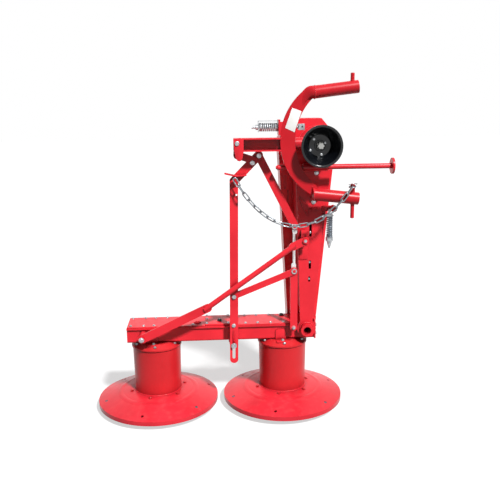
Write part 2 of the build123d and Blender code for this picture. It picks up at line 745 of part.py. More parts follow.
def lift_lever():
    bar = along_y(strap(ROD_HEAD, LEVER_A, 50), *LEVER_Y)
    return bar - disc_y(*LEVER_A, STUD_R, *LEVER_Y)


def pull_bar():
    bar = along_y(strap(LEVER_A, PULL_EYE, 45), *PULL_BAR_Y)
    return bar - disc_y(*LEVER_A, STUD_R, *PULL_BAR_Y)


# Pins of the linkage at the hitch frame
def linkage_pins():
    through = disc_y(*LEVER_A, STUD_R, LEVER_Y[0] - 10, PULL_BAR_Y[1])
    spacer = disc_y(*LEVER_A, STUD_R + 8, LEVER_Y[1], PULL_BAR_Y[0])
    spacer += disc_y(*LEVER_A, STUD_R + 5, LEVER_Y[0] - 12, LEVER_Y[0])
    eye = disc_y(*PULL_EYE, 16, PULL_BAR_Y[0] - 3, PULL_BAR_Y[0])
    head = disc_y(*ROD_HEAD, 15, LEVER_Y[0] - 9, LEVER_Y[0])
    tail = disc_y(*ROD_HEAD, 9, LEVER_Y[1], LIFT_ROD_Y[0] - APART)
    hook = chain_point(CHAIN_HOOK_R + RUN)
    head += disc_y(hook.X, hook.Z, CHAIN_HOOK_R, CHAIN_START[1] - 9, LEVER_Y[0])
    return Compound(children=[through + spacer, eye, head, tail])


# Release handle: a cranked flat bar along the top of the lift lever's foot
HANDLE_W = 9.0
HANDLE_DEPTH = 26.0
HANDLE_POINTS = (
    (ROD_HEAD[0] - 50, ROD_HEAD[1] + 46),
    (ROD_HEAD[0] + 10, ROD_HEAD[1] + 32),
    (ROD_HEAD[0] + 66, ROD_HEAD[1] + 35),
)


def release_handle():
    left, middle, right = HANDLE_POINTS
    grip = strap(left, middle, HANDLE_W)
    stem = strap(middle, right, HANDLE_W)
    return along_y(grip + stem, LEVER_Y[0] - HANDLE_DEPTH, LEVER_Y[0])


# Latch spring beside the mast, with its long bolt behind the arch
LATCH_Y = -192.0
LATCH_Z = ARCH_MID_Z + 73
LATCH_R = 24.0
LATCH_LEFT = -156.0
LATCH_RIGHT = -46.0


def latch_spring():
    spring = beads(LATCH_R, 5.5, LATCH_RIGHT - LATCH_LEFT)
    return Pos(LATCH_LEFT, LATCH_Y, LATCH_Z) * Rot(0, 90, 0) * spring


def latch_bracket():
    front = ARCH_Y - ARCH_T / 2
    plate = block(LATCH_RIGHT, LATCH_RIGHT + 10, front, LATCH_Y + 30, LATCH_Z - 42, LATCH_Z + 42)
    foot = block(LATCH_RIGHT + 10, 0, front, front + ARCH_T, LATCH_Z - 30, LATCH_Z + 30)
    face = Pos(ARCH_OUT_X, ARCH_MID_Z) * Circle(ARCH_OUT_R)
    bracket = plate + foot - along_y(face, ARCH_Y - ARCH_T / 2, ARCH_Y + ARCH_T / 2)
    return bracket - disc_x(LATCH_Y, LATCH_Z, 9, LATCH_RIGHT, LATCH_RIGHT + 10)


def latch_bolt():
    head = disc_x(LATCH_Y, LATCH_Z, 14, LATCH_LEFT - 14, LATCH_LEFT)
    rod = disc_x(LATCH_Y, LATCH_Z, 9, LATCH_RIGHT, 68)
    tail = disc_x(LATCH_Y, LATCH_Z, 7, LATCH_LEFT - 36, LATCH_LEFT - 14)
    nut = block(68, 102, LATCH_Y - 17, LATCH_Y + 17, LATCH_Z - 17, LATCH_Z + 17)
    return Compound(children=[head + tail, rod + nut])


# Lift chain: long links that hang in a catenary from the lever to the lower hitch pin
CHAIN_START = (ROD_HEAD[0] + 2, -208.0, ROD_HEAD[1] + 18)
CHAIN_END = (LOWER_PIN_X - 14, ARCH_Y - 55, LOWER_PIN_HEAD - 10)
CHAIN_LINKS = 18
CHAIN_WIRE = 8.0
CHAIN_LINK_INSIDE = 48.0
CHAIN_LINK_WIDTH = 28.0
CHAIN_SLACK = 0.6
CHAIN_HOOK_R = 5.0
CHAIN_BEND_STEPS = 5


def chain_curve():
    """The catenary's size and low point, from the chain's length and its two ends."""
    length = CHAIN_LINKS * (CHAIN_LINK_INSIDE - CHAIN_SLACK)
    span = CHAIN_END[0] - CHAIN_START[0]
    rise = CHAIN_END[2] - CHAIN_START[2]
    flat = math.sqrt(length**2 - rise**2)
    low, high = 50.0, 5000.0
    for _ in range(60):
        middle = (low + high) / 2
        if 2 * middle * math.sinh(span / (2 * middle)) > flat:
            low = middle
        else:
            high = middle
    centre = CHAIN_START[0] + span / 2 - low * math.asinh(rise / (2 * low * math.sinh(span / (2 * low))))
    base = CHAIN_START[2] - low * math.cosh((CHAIN_START[0] - centre) / low)
    return low, centre, base


def chain_point(along):
    """The chain's place at a length along it from the start."""
    size, centre, base = chain_curve()
    start = size * math.sinh((CHAIN_START[0] - centre) / size)
    x = centre + size * math.asinh((start + along) / size)
    share = (x - CHAIN_START[0]) / (CHAIN_END[0] - CHAIN_START[0])
    y = CHAIN_START[1] + share * (CHAIN_END[1] - CHAIN_START[1])
    return Vector(x, y, base + size * math.cosh((x - centre) / size))


def stepped_slot(straight, radius):
    """A slot's outline along X, its two bends drawn in flat steps."""
    points = []
    for end in (1, -1):
        for index in range(CHAIN_BEND_STEPS + 1):
            angle = math.pi * (index / CHAIN_BEND_STEPS - 0.5)
            reach = straight / 2 + radius * math.cos(angle)
            points.append((end * reach, end * radius * math.sin(angle)))
    return Polygon(*points, align=None)


def chain_link():
    """One long link in the plane of X and Y, along X."""
    straight = CHAIN_LINK_INSIDE + CHAIN_WIRE - (CHAIN_LINK_WIDTH - CHAIN_WIRE)
    outer = stepped_slot(straight, CHAIN_LINK_WIDTH / 2)
    inner = stepped_slot(straight, CHAIN_LINK_WIDTH / 2 - CHAIN_WIRE)
    link = extrude(outer - inner, CHAIN_WIRE / 2, both=True)
    return chamfer(link.edges().filter_by(Axis.Z, reverse=True), CHAIN_WIRE / 4)


def lift_chain():
    pitch = CHAIN_LINK_INSIDE - CHAIN_SLACK
    link = chain_link()
    links = []
    for index in range(CHAIN_LINKS):
        before = chain_point(index * pitch)
        after = chain_point((index + 1) * pitch)
        run = after - before
        plane = Plane(origin=(before + after) / 2, x_dir=run, z_dir=Vector(0, 1, 0).cross(run))
        roll = 0 if index % 2 else 90
        links.append(plane * Rot(roll, 0, 0) * link)
    return Compound(children=links + [chain_end_ring()])


def chain_end_ring():
    """The long ring that holds the chain's last link on the lower hitch pin's head."""
    inner_r = PIN_ROOT_R + RUN
    wire_r = CHAIN_WIRE / 2
    hook = chain_point(CHAIN_LINKS * (CHAIN_LINK_INSIDE - CHAIN_SLACK) - wire_r - RUN)
    pin = Vector(LOWER_PIN_X, ARCH_Y, hook.Z)
    reach = (hook - pin).length - inner_r - wire_r
    outline = SlotCenterToCenter(reach, 2 * (inner_r + CHAIN_WIRE)) - SlotCenterToCenter(reach, 2 * inner_r)
    plane = Plane(origin=pin, x_dir=hook - pin, z_dir=(0, 0, 1))
    return plane * (Pos(reach / 2, 0) * extrude(outline, wire_r, both=True))


for side, x in (("outer", -DRUM_SPACING), ("inner", 0.0)):
    save(f"glide_dish_{side}", glide_dish(x))
    save(f"knife_disc_{side}", knife_disc(x))
    save(f"knife_pins_{side}", knife_pins(x))
    save(f"drum_{side}", drum_shell(x))
    save(f"drum_cap_{side}", drum_cap(x))

for node, make in (
    ("gear_trough", gear_trough),
    ("gear_cover_middle", middle_cover),
    ("bar_end_plate", bar_end_plate),
    ("hinge_journal", hinge_journal),
    ("slot_stud", slot_stud),
    ("stay_bolt", stay_bolt),
    ("crank_stud", crank_stud),
    ("lift_crank", lift_crank),
    ("lift_strut", lift_strut),
    ("tie_rod", tie_rod),
    ("lift_rod", lift_rod),
    ("lift_rod_bolts", lift_rod_bolts),
    ("transport_stay", transport_stay),
    ("stay_eye", stay_eye),
    ("boom_plate", boom_plate),
    ("boom_beam", boom_beam),
    ("belt_guard", belt_guard),
    ("bearing_housing", bearing_housing),
    ("pto_guard", pto_guard),
    ("input_shaft", input_shaft),
    ("swing_lug", swing_lug),
    ("swing_pin", swing_pin),
    ("stand_sleeve", stand_sleeve),
    ("stand_leg", stand_leg),
    ("stay_bracket", stay_bracket),
    ("boom_spring", boom_spring),
    ("boom_spring_mount", boom_spring_mount),
    ("hitch_arch", hitch_arch),
    ("hitch_pin_upper", upper_hitch_pin),
    ("hitch_pin_lower", lower_hitch_pin),
    ("mast_channel", mast_channel),
    ("mast_gusset", mast_gusset),
    ("lift_lever", lift_lever),
    ("pull_bar", pull_bar),
    ("linkage_pins", linkage_pins),
    ("release_handle", release_handle),
    ("latch_spring", latch_spring),
    ("latch_bracket", latch_bracket),
    ("latch_bolt", latch_bolt),
    ("lift_chain", lift_chain),
):
    save(node, make())

save("gear_cover_outer", plain_cover(BAR_LEFT + 3, COVER_LEFT))
save("gear_cover_inner", plain_cover(COVER_RIGHT, BAR_RIGHT))
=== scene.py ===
"""Two-drum rotary mower, parked on its drums with the boom folded upright.

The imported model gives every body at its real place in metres. This script dresses it: it gives
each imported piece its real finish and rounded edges, and adds the springs, chain, bolts, weld
beads and small fittings. Sizes are in millimetres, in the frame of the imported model: X along
the cutter bar, Y away from the tractor, Z up.
"""

import logging
import math
import random
from collections.abc import Sequence
from dataclasses import dataclass, field
from enum import Enum
from typing import ClassVar

import bmesh
import bpy
from mathutils import Matrix, Vector


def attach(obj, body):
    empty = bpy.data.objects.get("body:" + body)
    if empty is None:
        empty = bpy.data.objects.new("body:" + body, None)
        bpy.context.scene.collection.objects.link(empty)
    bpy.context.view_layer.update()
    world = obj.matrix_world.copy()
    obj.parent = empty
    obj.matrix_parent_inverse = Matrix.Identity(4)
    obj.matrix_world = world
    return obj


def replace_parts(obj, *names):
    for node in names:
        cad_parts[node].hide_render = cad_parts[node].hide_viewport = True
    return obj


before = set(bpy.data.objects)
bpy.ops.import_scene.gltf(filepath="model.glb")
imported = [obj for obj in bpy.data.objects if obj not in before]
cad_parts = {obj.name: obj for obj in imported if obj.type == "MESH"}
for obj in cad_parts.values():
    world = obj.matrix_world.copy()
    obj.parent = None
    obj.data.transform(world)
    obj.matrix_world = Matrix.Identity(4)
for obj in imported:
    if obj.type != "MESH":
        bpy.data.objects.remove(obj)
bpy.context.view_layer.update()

LOG = logging.getLogger("mower")
MM = 0.001
PURE_WHITE = "FFFFFF"
X_AXIS = Vector((1, 0, 0))
Y_AXIS = Vector((0, 1, 0))
Z_AXIS = Vector((0, 0, 1))

Point = tuple[float, float, float]
Outline = Sequence[tuple[float, float]]
Ring = list[bmesh.types.BMVert]
Socket = bpy.types.NodeSocket
Colour = tuple[float, float, float, float]
Settings = dict[str | int, object]
Rows = tuple[tuple["Finish", float, str], ...]

SMOOTH_BELOW = math.radians(32)
FLAT_BELOW = math.radians(0.6)
WELD_REACH = 0.00002


class Body(Enum):
    """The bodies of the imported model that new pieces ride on."""

    BAR = "cutter_bar"
    DRUM_INNER = "drum_unit_inner"
    DRUM_OUTER = "drum_unit_outer"
    BOOM = "boom"
    HITCH = "hitch_frame"
    STAY = "stay"
    LIFT_BAR = "lift_bar"


class Slot(Enum):
    """The record's material slots."""

    RED = "red_enamel"
    ZINC = "zinc_plated_steel"
    BLACK = "black_plastic"
    STEEL = "bright_steel"


def linear(code: str) -> Colour:
    """Turn an sRGB hex colour into Blender's linear colour.

    Args:
        code: The colour as six hex digits.

    Returns:
        Linear red, green, blue and an alpha of 1.
    """
    parts = [int(code[place:place + 2], 16) / 255 for place in (0, 2, 4)]
    red, green, blue = (
        part / 12.92 if part <= 0.04045 else ((part + 0.055) / 1.055) ** 2.4 for part in parts
    )
    return (red, green, blue, 1.0)


def add_object(name: str, data: bpy.types.ID) -> bpy.types.Object:
    """Put a new object into the scene.

    Args:
        name: The object's name.
        data: Its mesh, light or camera.

    Returns:
        The new object.
    """
    made = bpy.data.objects.new(name, data)
    bpy.context.scene.collection.objects.link(made)
    return made


@dataclass
class Nodes:
    """A node tree, with short ways to add the nodes that surfaces share."""

    tree: bpy.types.NodeTree
    mix_first: ClassVar[int] = 6
    mix_second: ClassVar[int] = 7
    mix_result: ClassVar[int] = 2

    @classmethod
    def of(cls, owner: bpy.types.Material | bpy.types.World) -> "Nodes":
        """Empty the node tree of a material or world.

        Args:
            owner: The material or world.

        Returns:
            Its node tree, ready to be filled.
        """
        owner.use_nodes = True
        owner.node_tree.nodes.clear()
        return cls(owner.node_tree)

    def add(self, kind: str, settings: Settings | None = None) -> bpy.types.Node:
        """Add a node, set it up and connect its inputs.

        Args:
            kind: Blender's name for the node type.
            settings: Attributes, or inputs by name or number, each with its value or the
                socket that feeds it.

        Returns:
            The new node.
        """
        node = self.tree.nodes.new(kind)
        for name, value in (settings or {}).items():
            if isinstance(name, str) and name not in node.inputs:
                setattr(node, name, value)
            elif isinstance(value, Socket):
                self.tree.links.new(value, node.inputs[name])
            else:
                node.inputs[name].default_value = value
        return node

    def ramp(self, source: Socket, low: float, high: float) -> Socket:
        """Stretch a factor smoothly, so that it runs from 0 at low to 1 at high."""
        settings = {"interpolation_type": "SMOOTHSTEP", "From Min": low, "From Max": high}
        return self.add("ShaderNodeMapRange", settings | {"Value": source}).outputs["Result"]

    def between(self, factor: Socket, low: float, high: float) -> Socket:
        """Turn a factor from 0 to 1 into a value from low to high."""
        settings = {"To Min": low, "To Max": high, "Value": factor}
        return self.add("ShaderNodeMapRange", settings).outputs["Result"]

    def maths(self, operation: str, first: Socket, second: Socket | float) -> Socket:
        """Combine a factor with another factor or a number."""
        settings = {"operation": operation, 0: first, 1: second}
        return self.add("ShaderNodeMath", settings).outputs[0]

    def mixed(self, factor: Socket, first: Socket | Colour, second: Socket | Colour) -> Socket:
        """Mix two colours: a factor of 0 gives the first, 1 the second."""
        settings = {"data_type": "RGBA", 0: factor, self.mix_first: first, self.mix_second: second}
        return self.add("ShaderNodeMix", settings).outputs[self.mix_result]

    def mixed_shader(self, factor: Socket, first: bpy.types.Node, second: bpy.types.Node) -> Socket:
        """Mix two shaders: a factor of 0 gives the first, 1 the second."""
        settings = {0: factor, 1: first.outputs[0], 2: second.outputs[0]}
        return self.add("ShaderNodeMixShader", settings).outputs[0]

    def noise(self, place: Socket, spacing_mm: float, detail: float) -> Socket:
        """Add a noise whose blotches are a real size apart, with so many finer layers."""
        settings = {"Scale": 1 / (spacing_mm * MM), "Detail": detail, "Roughness": 0.55}
        return self.add("ShaderNodeTexNoise", settings | {"Vector": place}).outputs[0]

    def relief(self, height: Socket, strength: float, depth_mm: float) -> Socket:
        """Raise a surface by a pattern of heights."""
        settings = {"Strength": strength, "Distance": depth_mm * MM, "Height": height}
        return self.add("ShaderNodeBump", settings).outputs[0]

    def shown(self) -> Socket:
        """Give a factor that is 1 for what the camera, gloss and glass see.

        Returns:
            The factor.
        """
        rays = self.add("ShaderNodeLightPath").outputs
        seen = self.maths("MAXIMUM", rays["Is Camera Ray"], rays["Is Glossy Ray"])
        return self.maths("MAXIMUM", seen, rays["Is Transmission Ray"])


@dataclass(frozen=True)
class Grain:
    """A fine relief: how far its bumps are apart, and how strong and deep they are."""

    spacing_mm: float
    detail: float
    strength: float
    depth_mm: float

    def normal(self, nodes: Nodes, place: Socket) -> Socket:
        """Give the surface normal that the grain bends."""
        height = nodes.noise(place, self.spacing_mm, self.detail)
        return nodes.relief(height, self.strength, self.depth_mm)


@dataclass(frozen=True)
class Finish:
    """A surface finish: a colour clouded with a second one, under a fine grain."""

    name: str
    colour: str
    cloud: str
    roughness: float
    cloud_mm: float = 40.0
    slot: ClassVar[Slot] = Slot.RED
    detail: ClassVar[float] = 3.0
    limits: ClassVar[tuple[float, float]] = (0.35, 0.7)
    rougher: ClassVar[float] = 0.0
    fixed: ClassVar[Settings] = {}
    grain: ClassVar[Grain | None] = None

    def material(self) -> bpy.types.Material:
        """Give the finish's material, made once."""
        return bpy.data.materials.get(self.name) or self.build()

    def build(self) -> bpy.types.Material:
        """Make the material.

        Returns:
            The new material.
        """
        made = bpy.data.materials.new(self.name)
        nodes = Nodes.of(made)
        place = nodes.add("ShaderNodeTexCoord").outputs["Object"]
        shader = nodes.add("ShaderNodeBsdfPrincipled", self.fixed | self.surface(nodes, place))
        nodes.add("ShaderNodeOutputMaterial", {"Surface": shader.outputs[0]})
        made.diffuse_color = linear(self.colour)
        return made

    def surface(self, nodes: Nodes, place: Socket) -> Settings:
        """Cloud the colour, make the clouds rougher and add the grain.

        Args:
            nodes: The material's nodes.
            place: The coordinates in metres.

        Returns:
            The shader's inputs and what feeds each.
        """
        clouds = nodes.ramp(nodes.noise(place, self.cloud_mm, self.detail), *self.limits)
        inputs = {
            "Base Color": nodes.mixed(clouds, linear(self.colour), linear(self.cloud)),
            "Roughness": nodes.between(clouds, self.roughness, self.roughness + self.rougher),
        }
        if self.grain:
            inputs["Normal"] = self.grain.normal(nodes, place)
        return inputs


@dataclass(frozen=True)
class Enamel(Finish):
    """Baked enamel: glossy, with painted shade in corners and channels, an orange peel and a film
    of dust.
    """

    cloud_mm: float = 260.0
    dust: ClassVar[str] = "E9938C"
    # Painted shade: the dark red that channels and corners are darkened towards
    painted_shade: ClassVar[str] = "5C0A14"
    dust_mm: ClassVar[float] = 34.0
    dust_detail: ClassVar[float] = 4.0
    dust_limits: ClassVar[tuple[float, float]] = (0.45, 0.78)
    up_limits: ClassVar[tuple[float, float]] = (0.55, 1.0)
    dust_share: ClassVar[float] = 0.08
    dust_roughness: ClassVar[float] = 0.5
    # Painted shade: how far ambient occlusion looks, where it starts and how strongly it darkens
    shade_reach_mm: ClassVar[float] = 80.0
    recess_shade_limits: ClassVar[tuple[float, float]] = (0.85, 0.25)
    painted_shade_share: ClassVar[float] = 0.8
    limits: ClassVar[tuple[float, float]] = (0.35, 0.72)
    fixed: ClassVar[Settings] = {"Specular IOR Level": 0.28}
    grain: ClassVar[Grain] = Grain(3.2, 1.0, 0.05, 0.3)

    def surface(self, nodes: Nodes, place: Socket) -> Settings:
        """Dust what faces up and paint shade into the corners of the clouded coat.

        Args:
            nodes: The material's nodes.
            place: The coordinates in metres.

        Returns:
            The shader's inputs and what feeds each.
        """
        inputs = super().surface(nodes, place)
        # Dust settles on what faces up, in patches
        normal = nodes.add("ShaderNodeNewGeometry").outputs["Normal"]
        up = nodes.add("ShaderNodeSeparateXYZ", {0: normal}).outputs["Z"]
        facing = nodes.ramp(up, *self.up_limits)
        spots = nodes.noise(place, self.dust_mm, self.dust_detail)
        film = nodes.maths("MULTIPLY", facing, nodes.ramp(spots, *self.dust_limits))
        share = nodes.maths("MULTIPLY", film, self.dust_share)
        dusty = nodes.mixed(share, inputs["Base Color"], linear(self.dust))
        # Painted shade: ambient occlusion darkens channels and corners towards a dark red
        reach = {"samples": 6, "Distance": self.shade_reach_mm * MM}
        open_sky = nodes.add("ShaderNodeAmbientOcclusion", reach).outputs["AO"]
        recess_shade = nodes.ramp(open_sky, *self.recess_shade_limits)
        shade_weight = nodes.maths("MULTIPLY", recess_shade, self.painted_shade_share)
        return inputs | {
            "Base Color": nodes.mixed(shade_weight, dusty, linear(self.painted_shade)),
            "Roughness": nodes.between(film, self.roughness, self.dust_roughness),
        }


@dataclass(frozen=True)
class ZincPlate(Finish):
    """Bright zinc plating on mild steel: grey metal with a cloudy, faintly blue passivation."""

    cloud_mm: float = 9.0
    slot: ClassVar[Slot] = Slot.ZINC
    rougher: ClassVar[float] = 0.18
    fixed: ClassVar[Settings] = {"Metallic": 0.9}
    grain: ClassVar[Grain] = Grain(1.6, 2.0, 0.15, 0.2)


@dataclass(frozen=True)
class MouldedBlack(Finish):
    """Moulded polyethylene: black, with a soft sheen, a faint bloom and the mould's grain."""

    cloud_mm: float = 45.0
    slot: ClassVar[Slot] = Slot.BLACK
    limits: ClassVar[tuple[float, float]] = (0.4, 0.75)
    fixed: ClassVar[Settings] = {"Specular IOR Level": 0.45}
    grain: ClassVar[Grain] = Grain(1.4, 2.0, 0.2, 0.3)


@dataclass(frozen=True)
class PrintedPlate(Finish):
    """A blank stove-enamelled aluminium plate: matt white, stained by weather."""

    detail: ClassVar[float] = 4.0
    limits: ClassVar[tuple[float, float]] = (0.35, 0.8)


@dataclass(frozen=True)
class TurnedSteel(Finish):
    """Machined steel with a film of oil: fine tool marks that run round the shaft."""

    mark_mm: ClassVar[float] = 1.2
    waves_per_unit: ClassVar[float] = 0.31
    slot: ClassVar[Slot] = Slot.STEEL
    fixed: ClassVar[Settings] = {"Metallic": 1.0}

    def surface(self, nodes: Nodes, place: Socket) -> Settings:
        """Add the tool marks, as coarse as they need to be to show.

        Args:
            nodes: The material's nodes.
            place: The coordinates in metres.

        Returns:
            The shader's inputs and what feeds each.
        """
        bands = {"wave_type": "BANDS", "bands_direction": "Y", "Vector": place}
        scale = {"Scale": self.waves_per_unit / (self.mark_mm * MM)}
        marks = nodes.add("ShaderNodeTexWave", bands | scale).outputs["Fac"]
        return super().surface(nodes, place) | {"Normal": nodes.relief(marks, 0.25, 0.2)}


# Enamel on the boom, frame and bar: a strong signal red under a clear gloss
RED = Enamel("baked_red_enamel", "ED2D3A", "DB2330", 0.30)
# The same enamel on the arch and its tubes, made darker: painted shade
ARCH_RED = Enamel("baked_red_enamel_arch", "CE1B28", "C01420", 0.34)
# Enamel on the rolled drum shells, a darker and duller copy of the red: painted shade of the cutter
# bar above them
DRUM_RED = Enamel("baked_red_enamel_drums", "CB262C", "BC2026", 0.34)
# Enamel on the spun discs, the glossiest pieces, with broad soft clouds
DISC_RED = Enamel("baked_red_enamel_discs", "E02C3A", "CC2230", 0.28)
# Zinc plating on bolts, straps and the latch spring
ZINC = ZincPlate("bright_zinc_plating", "C0C2C4", "8F9499", 0.34)
# Hot-dip galvanising on the chain: duller, so that each link shows before a pale ground
GALVANISED = ZincPlate("galvanised_chain", "959B9F", "6C7379", 0.38, cloud_mm=6.0)
# The tie rod's fresh white zinc, the brightest metal on the machine
WHITE_ZINC = ZincPlate("white_zinc_rod", "E4E6E6", "CED1D2", 0.4)
# Spring steel, phosphated and thinly plated, so darker than the bolts
DARK_ZINC = ZincPlate("phosphated_spring_steel", "7C848C", "596069", 0.42)
# The drive guard's cup and the rubber plugs
BLACK = MouldedBlack("moulded_black_polyethylene", "0A0C10", "12151A", 0.22)
# The splined input shaft
STEEL = TurnedSteel("turned_oiled_steel", "A9A9A6", "A9A9A6", 0.28)
# The blank label plate
WHITE = PrintedPlate("blank_white_label_plate", "F8F7F4", "EFEEEA", 0.42)


def perpendicular(direction: Vector) -> tuple[Vector, Vector]:
    """Give two directions square to a direction.

    Args:
        direction: A unit direction.

    Returns:
        Two unit directions that complete a right-handed frame.
    """
    helper = Z_AXIS if abs(direction.z) < 0.9 else X_AXIS
    first = helper.cross(direction).normalized()
    return first, direction.cross(first)


def arc(centre: Point, second: Vector, radius: float, steps: int) -> list[Vector]:
    """Give points round a circle that starts along X.

    Args:
        centre: The circle's middle.
        second: The direction a quarter turn on from X.
        radius: The circle's radius.
        steps: How many points go round.

    Returns:
        The points.
    """
    angles = [math.tau * step / steps for step in range(steps)]
    return [
        Vector(centre) + X_AXIS * (radius * math.cos(angle)) + second * (radius * math.sin(angle))
        for angle in angles
    ]


@dataclass
class Draft:
    """A mesh in the making, in millimetres."""

    name: str
    mesh: bmesh.types.BMesh = field(default_factory=bmesh.new)
    chamfer_from: ClassVar[float] = 0.82
    crown_share: ClassVar[float] = 0.93
    crown_past_flat: ClassVar[float] = 1.02

    def circle(self, centre: Vector, first: Vector, second: Vector, radii: list[float]) -> Ring:
        """Add a ring of points, one for each radius.

        Args:
            centre: The ring's middle.
            first: The direction of the first point.
            second: The direction a quarter turn on.
            radii: The radius at each point.

        Returns:
            The ring's points in order.
        """
        ring = []
        for index, radius in enumerate(radii):
            angle = math.tau * index / len(radii)
            offset = first * (radius * math.cos(angle)) + second * (radius * math.sin(angle))
            ring.append(self.mesh.verts.new(centre + offset))
        return ring

    def band(self, low: Ring, high: Ring, shift: int = 0) -> None:
        """Join two rings with faces.

        Args:
            low: The first ring.
            high: The second ring.
            shift: How many points the second ring is turned on.
        """
        count = len(low)
        for index in range(count):
            after = (index + 1) % count
            ahead, level = high[(after + shift) % count], high[(index + shift) % count]
            self.mesh.faces.new((low[index], low[after], ahead, level))

    def skin(self, rings: list[Ring], looped: bool = False, capped: bool = True) -> None:
        """Cover a row of rings with faces and finish its ends.

        Args:
            rings: Rings of equally many points.
            looped: Whether the last ring joins the first, turned to the least twist.
            capped: Whether a face closes each end of a row that isn't looped.
        """
        for low, high in zip(rings, rings[1:]):
            self.band(low, high)
        start, last = rings[0], rings[-1]
        if looped:
            turns = range(len(start))
            gaps = [
                sum((last[i].co - start[(i + turn) % len(start)].co).length for i in turns)
                for turn in turns
            ]
            self.band(last, start, gaps.index(min(gaps)))
        elif capped:
            self.mesh.faces.new(start[::-1])
            self.mesh.faces.new(last)

    def turned(
        self, base: Point, axis: Vector, outline: Outline, sides: int = 28, looped: bool = False
    ) -> None:
        """Add a turned solid, or a turned ring where the outline is a loop.

        Args:
            base: The place on the axis where the outline's lengths start.
            axis: The axis's direction.
            outline: Radius and length along the axis, point by point.
            sides: How many points go round.
            looped: Whether the outline's last point joins its first.
        """
        first, second = perpendicular(axis)
        rings = [
            self.circle(Vector(base) + axis * along, first, second, [radius] * sides)
            for radius, along in outline
        ]
        self.skin(rings, looped)

    def hexagon(
        self, base: Vector, axis: Vector, across: float, height: float, turn: float
    ) -> None:
        """Add a hexagon head or nut with its chamfered crown.

        Args:
            base: The middle of the face that it sits on.
            axis: The direction that it stands up in.
            across: The width across its flats.
            height: Its height.
            turn: How far it is turned, in degrees.
        """
        spin = Matrix.Rotation(math.radians(turn), 3, axis)
        first, second = (spin @ side for side in perpendicular(axis))
        flat = across / 2
        corner = flat / math.cos(math.pi / 6)
        # A hexagon has corners at even points and the middles of its flats at odd ones
        wide = [flat if index % 2 else corner for index in range(12)]
        crown = [min(radius, flat * self.crown_past_flat) * self.crown_share for radius in wide]
        levels = ((0.0, wide), (self.chamfer_from, wide), (1.0, crown))
        self.skin([
            self.circle(base + axis * (height * share), first, second, radii)
            for share, radii in levels
        ])

    def tube(
        self, path: list[Vector], radii: list[float], sides: int = 8, looped: bool = False
    ) -> None:
        """Sweep a round section along a path.

        Args:
            path: The points of the centre line.
            radii: The radius at each point, or one for them all.
            sides: How many points go round.
            looped: Whether the path's last point joins its first.
        """
        ends = (path[-1], path[0]) if looped else (path[0], path[-1])
        around = [ends[0], *path, ends[1]]
        first = None
        rings = []
        for index, point in enumerate(path):
            run = (around[index + 2] - around[index]).normalized()
            if first is None:
                first, _ = perpendicular(run)
            else:
                first = (first - run * first.dot(run)).normalized()
            section = [radii[index % len(radii)]] * sides
            rings.append(self.circle(point, first, run.cross(first), section))
        self.skin(rings, looped)

    def plate(
        self, outline: Outline, axis: int, level: float, depth: float, rounding: float
    ) -> None:
        """Add a flat plate with rounded edges, square to an axis.

        Args:
            outline: The points of one face, by their coordinates on the other two axes.
            axis: The number of the axis that the plate is square to.
            level: The face's place on that axis.
            depth: How far on the other face is.
            rounding: The width of the bevel on the plate's edges.
        """
        through = Vector((0, 0, 0))
        through[axis] = depth
        face = [Vector((*spot[:axis], level, *spot[axis:])) for spot in outline]
        near = [self.mesh.verts.new(point) for point in face]
        far = [self.mesh.verts.new(point + through) for point in face]
        self.skin([near, far])
        edges = {edge for vert in near + far for edge in vert.link_edges}
        bmesh.ops.bevel(
            self.mesh, geom=list(edges), offset=rounding, segments=2, affect="EDGES", profile=0.6
        )

    def done(self, finish: Finish, body: Body, sharp: float = 35.0) -> bpy.types.Object:
        """Turn the draft into an object on its body.

        Args:
            finish: The finish that it wears.
            body: The body that it rides on.
            sharp: The angle above which an edge stays sharp, in degrees.

        Returns:
            The new object.
        """
        bmesh.ops.recalc_face_normals(self.mesh, faces=self.mesh.faces[:])
        bmesh.ops.scale(self.mesh, vec=(MM, MM, MM), verts=self.mesh.verts[:])
        data = bpy.data.meshes.new(self.name)
        self.mesh.to_mesh(data)
        self.mesh.free()
        data.polygons.foreach_set("use_smooth", [True] * len(data.polygons))
        data.set_sharp_from_angle(angle=math.radians(sharp))
        data.materials.append(finish.material())
        made = add_object(self.name, data)
        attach(made, body.value)
        LOG.info("made %s with %d faces", self.name, len(data.polygons))
        return made


@dataclass
class BoltSet:
    """A set of equal hexagon bolts, each on a washer."""

    name: str
    places: list[Point]
    axis: Vector
    across: float
    height: float
    washer: float
    sunk: ClassVar[float] = 0.6
    head_base: ClassVar[float] = 2.2

    def build(self, body: Body, finish: Finish = ZINC) -> None:
        """Make the bolts as one piece.

        Args:
            body: The body that they ride on.
            finish: Their plating.
        """
        draft = Draft(self.name)
        turns = random.Random(self.name)
        rim = self.washer - 0.6
        washer = [(rim, 0), (self.washer, 0.5), (self.washer, 2.0), (rim, 2.4)]
        for place in self.places:
            seat = Vector(place) - self.axis * self.sunk
            draft.turned(seat, self.axis, washer, 24)
            head = seat + self.axis * self.head_base
            draft.hexagon(head, self.axis, self.across, self.height, turns.uniform(0, 60))
        draft.done(finish, body)


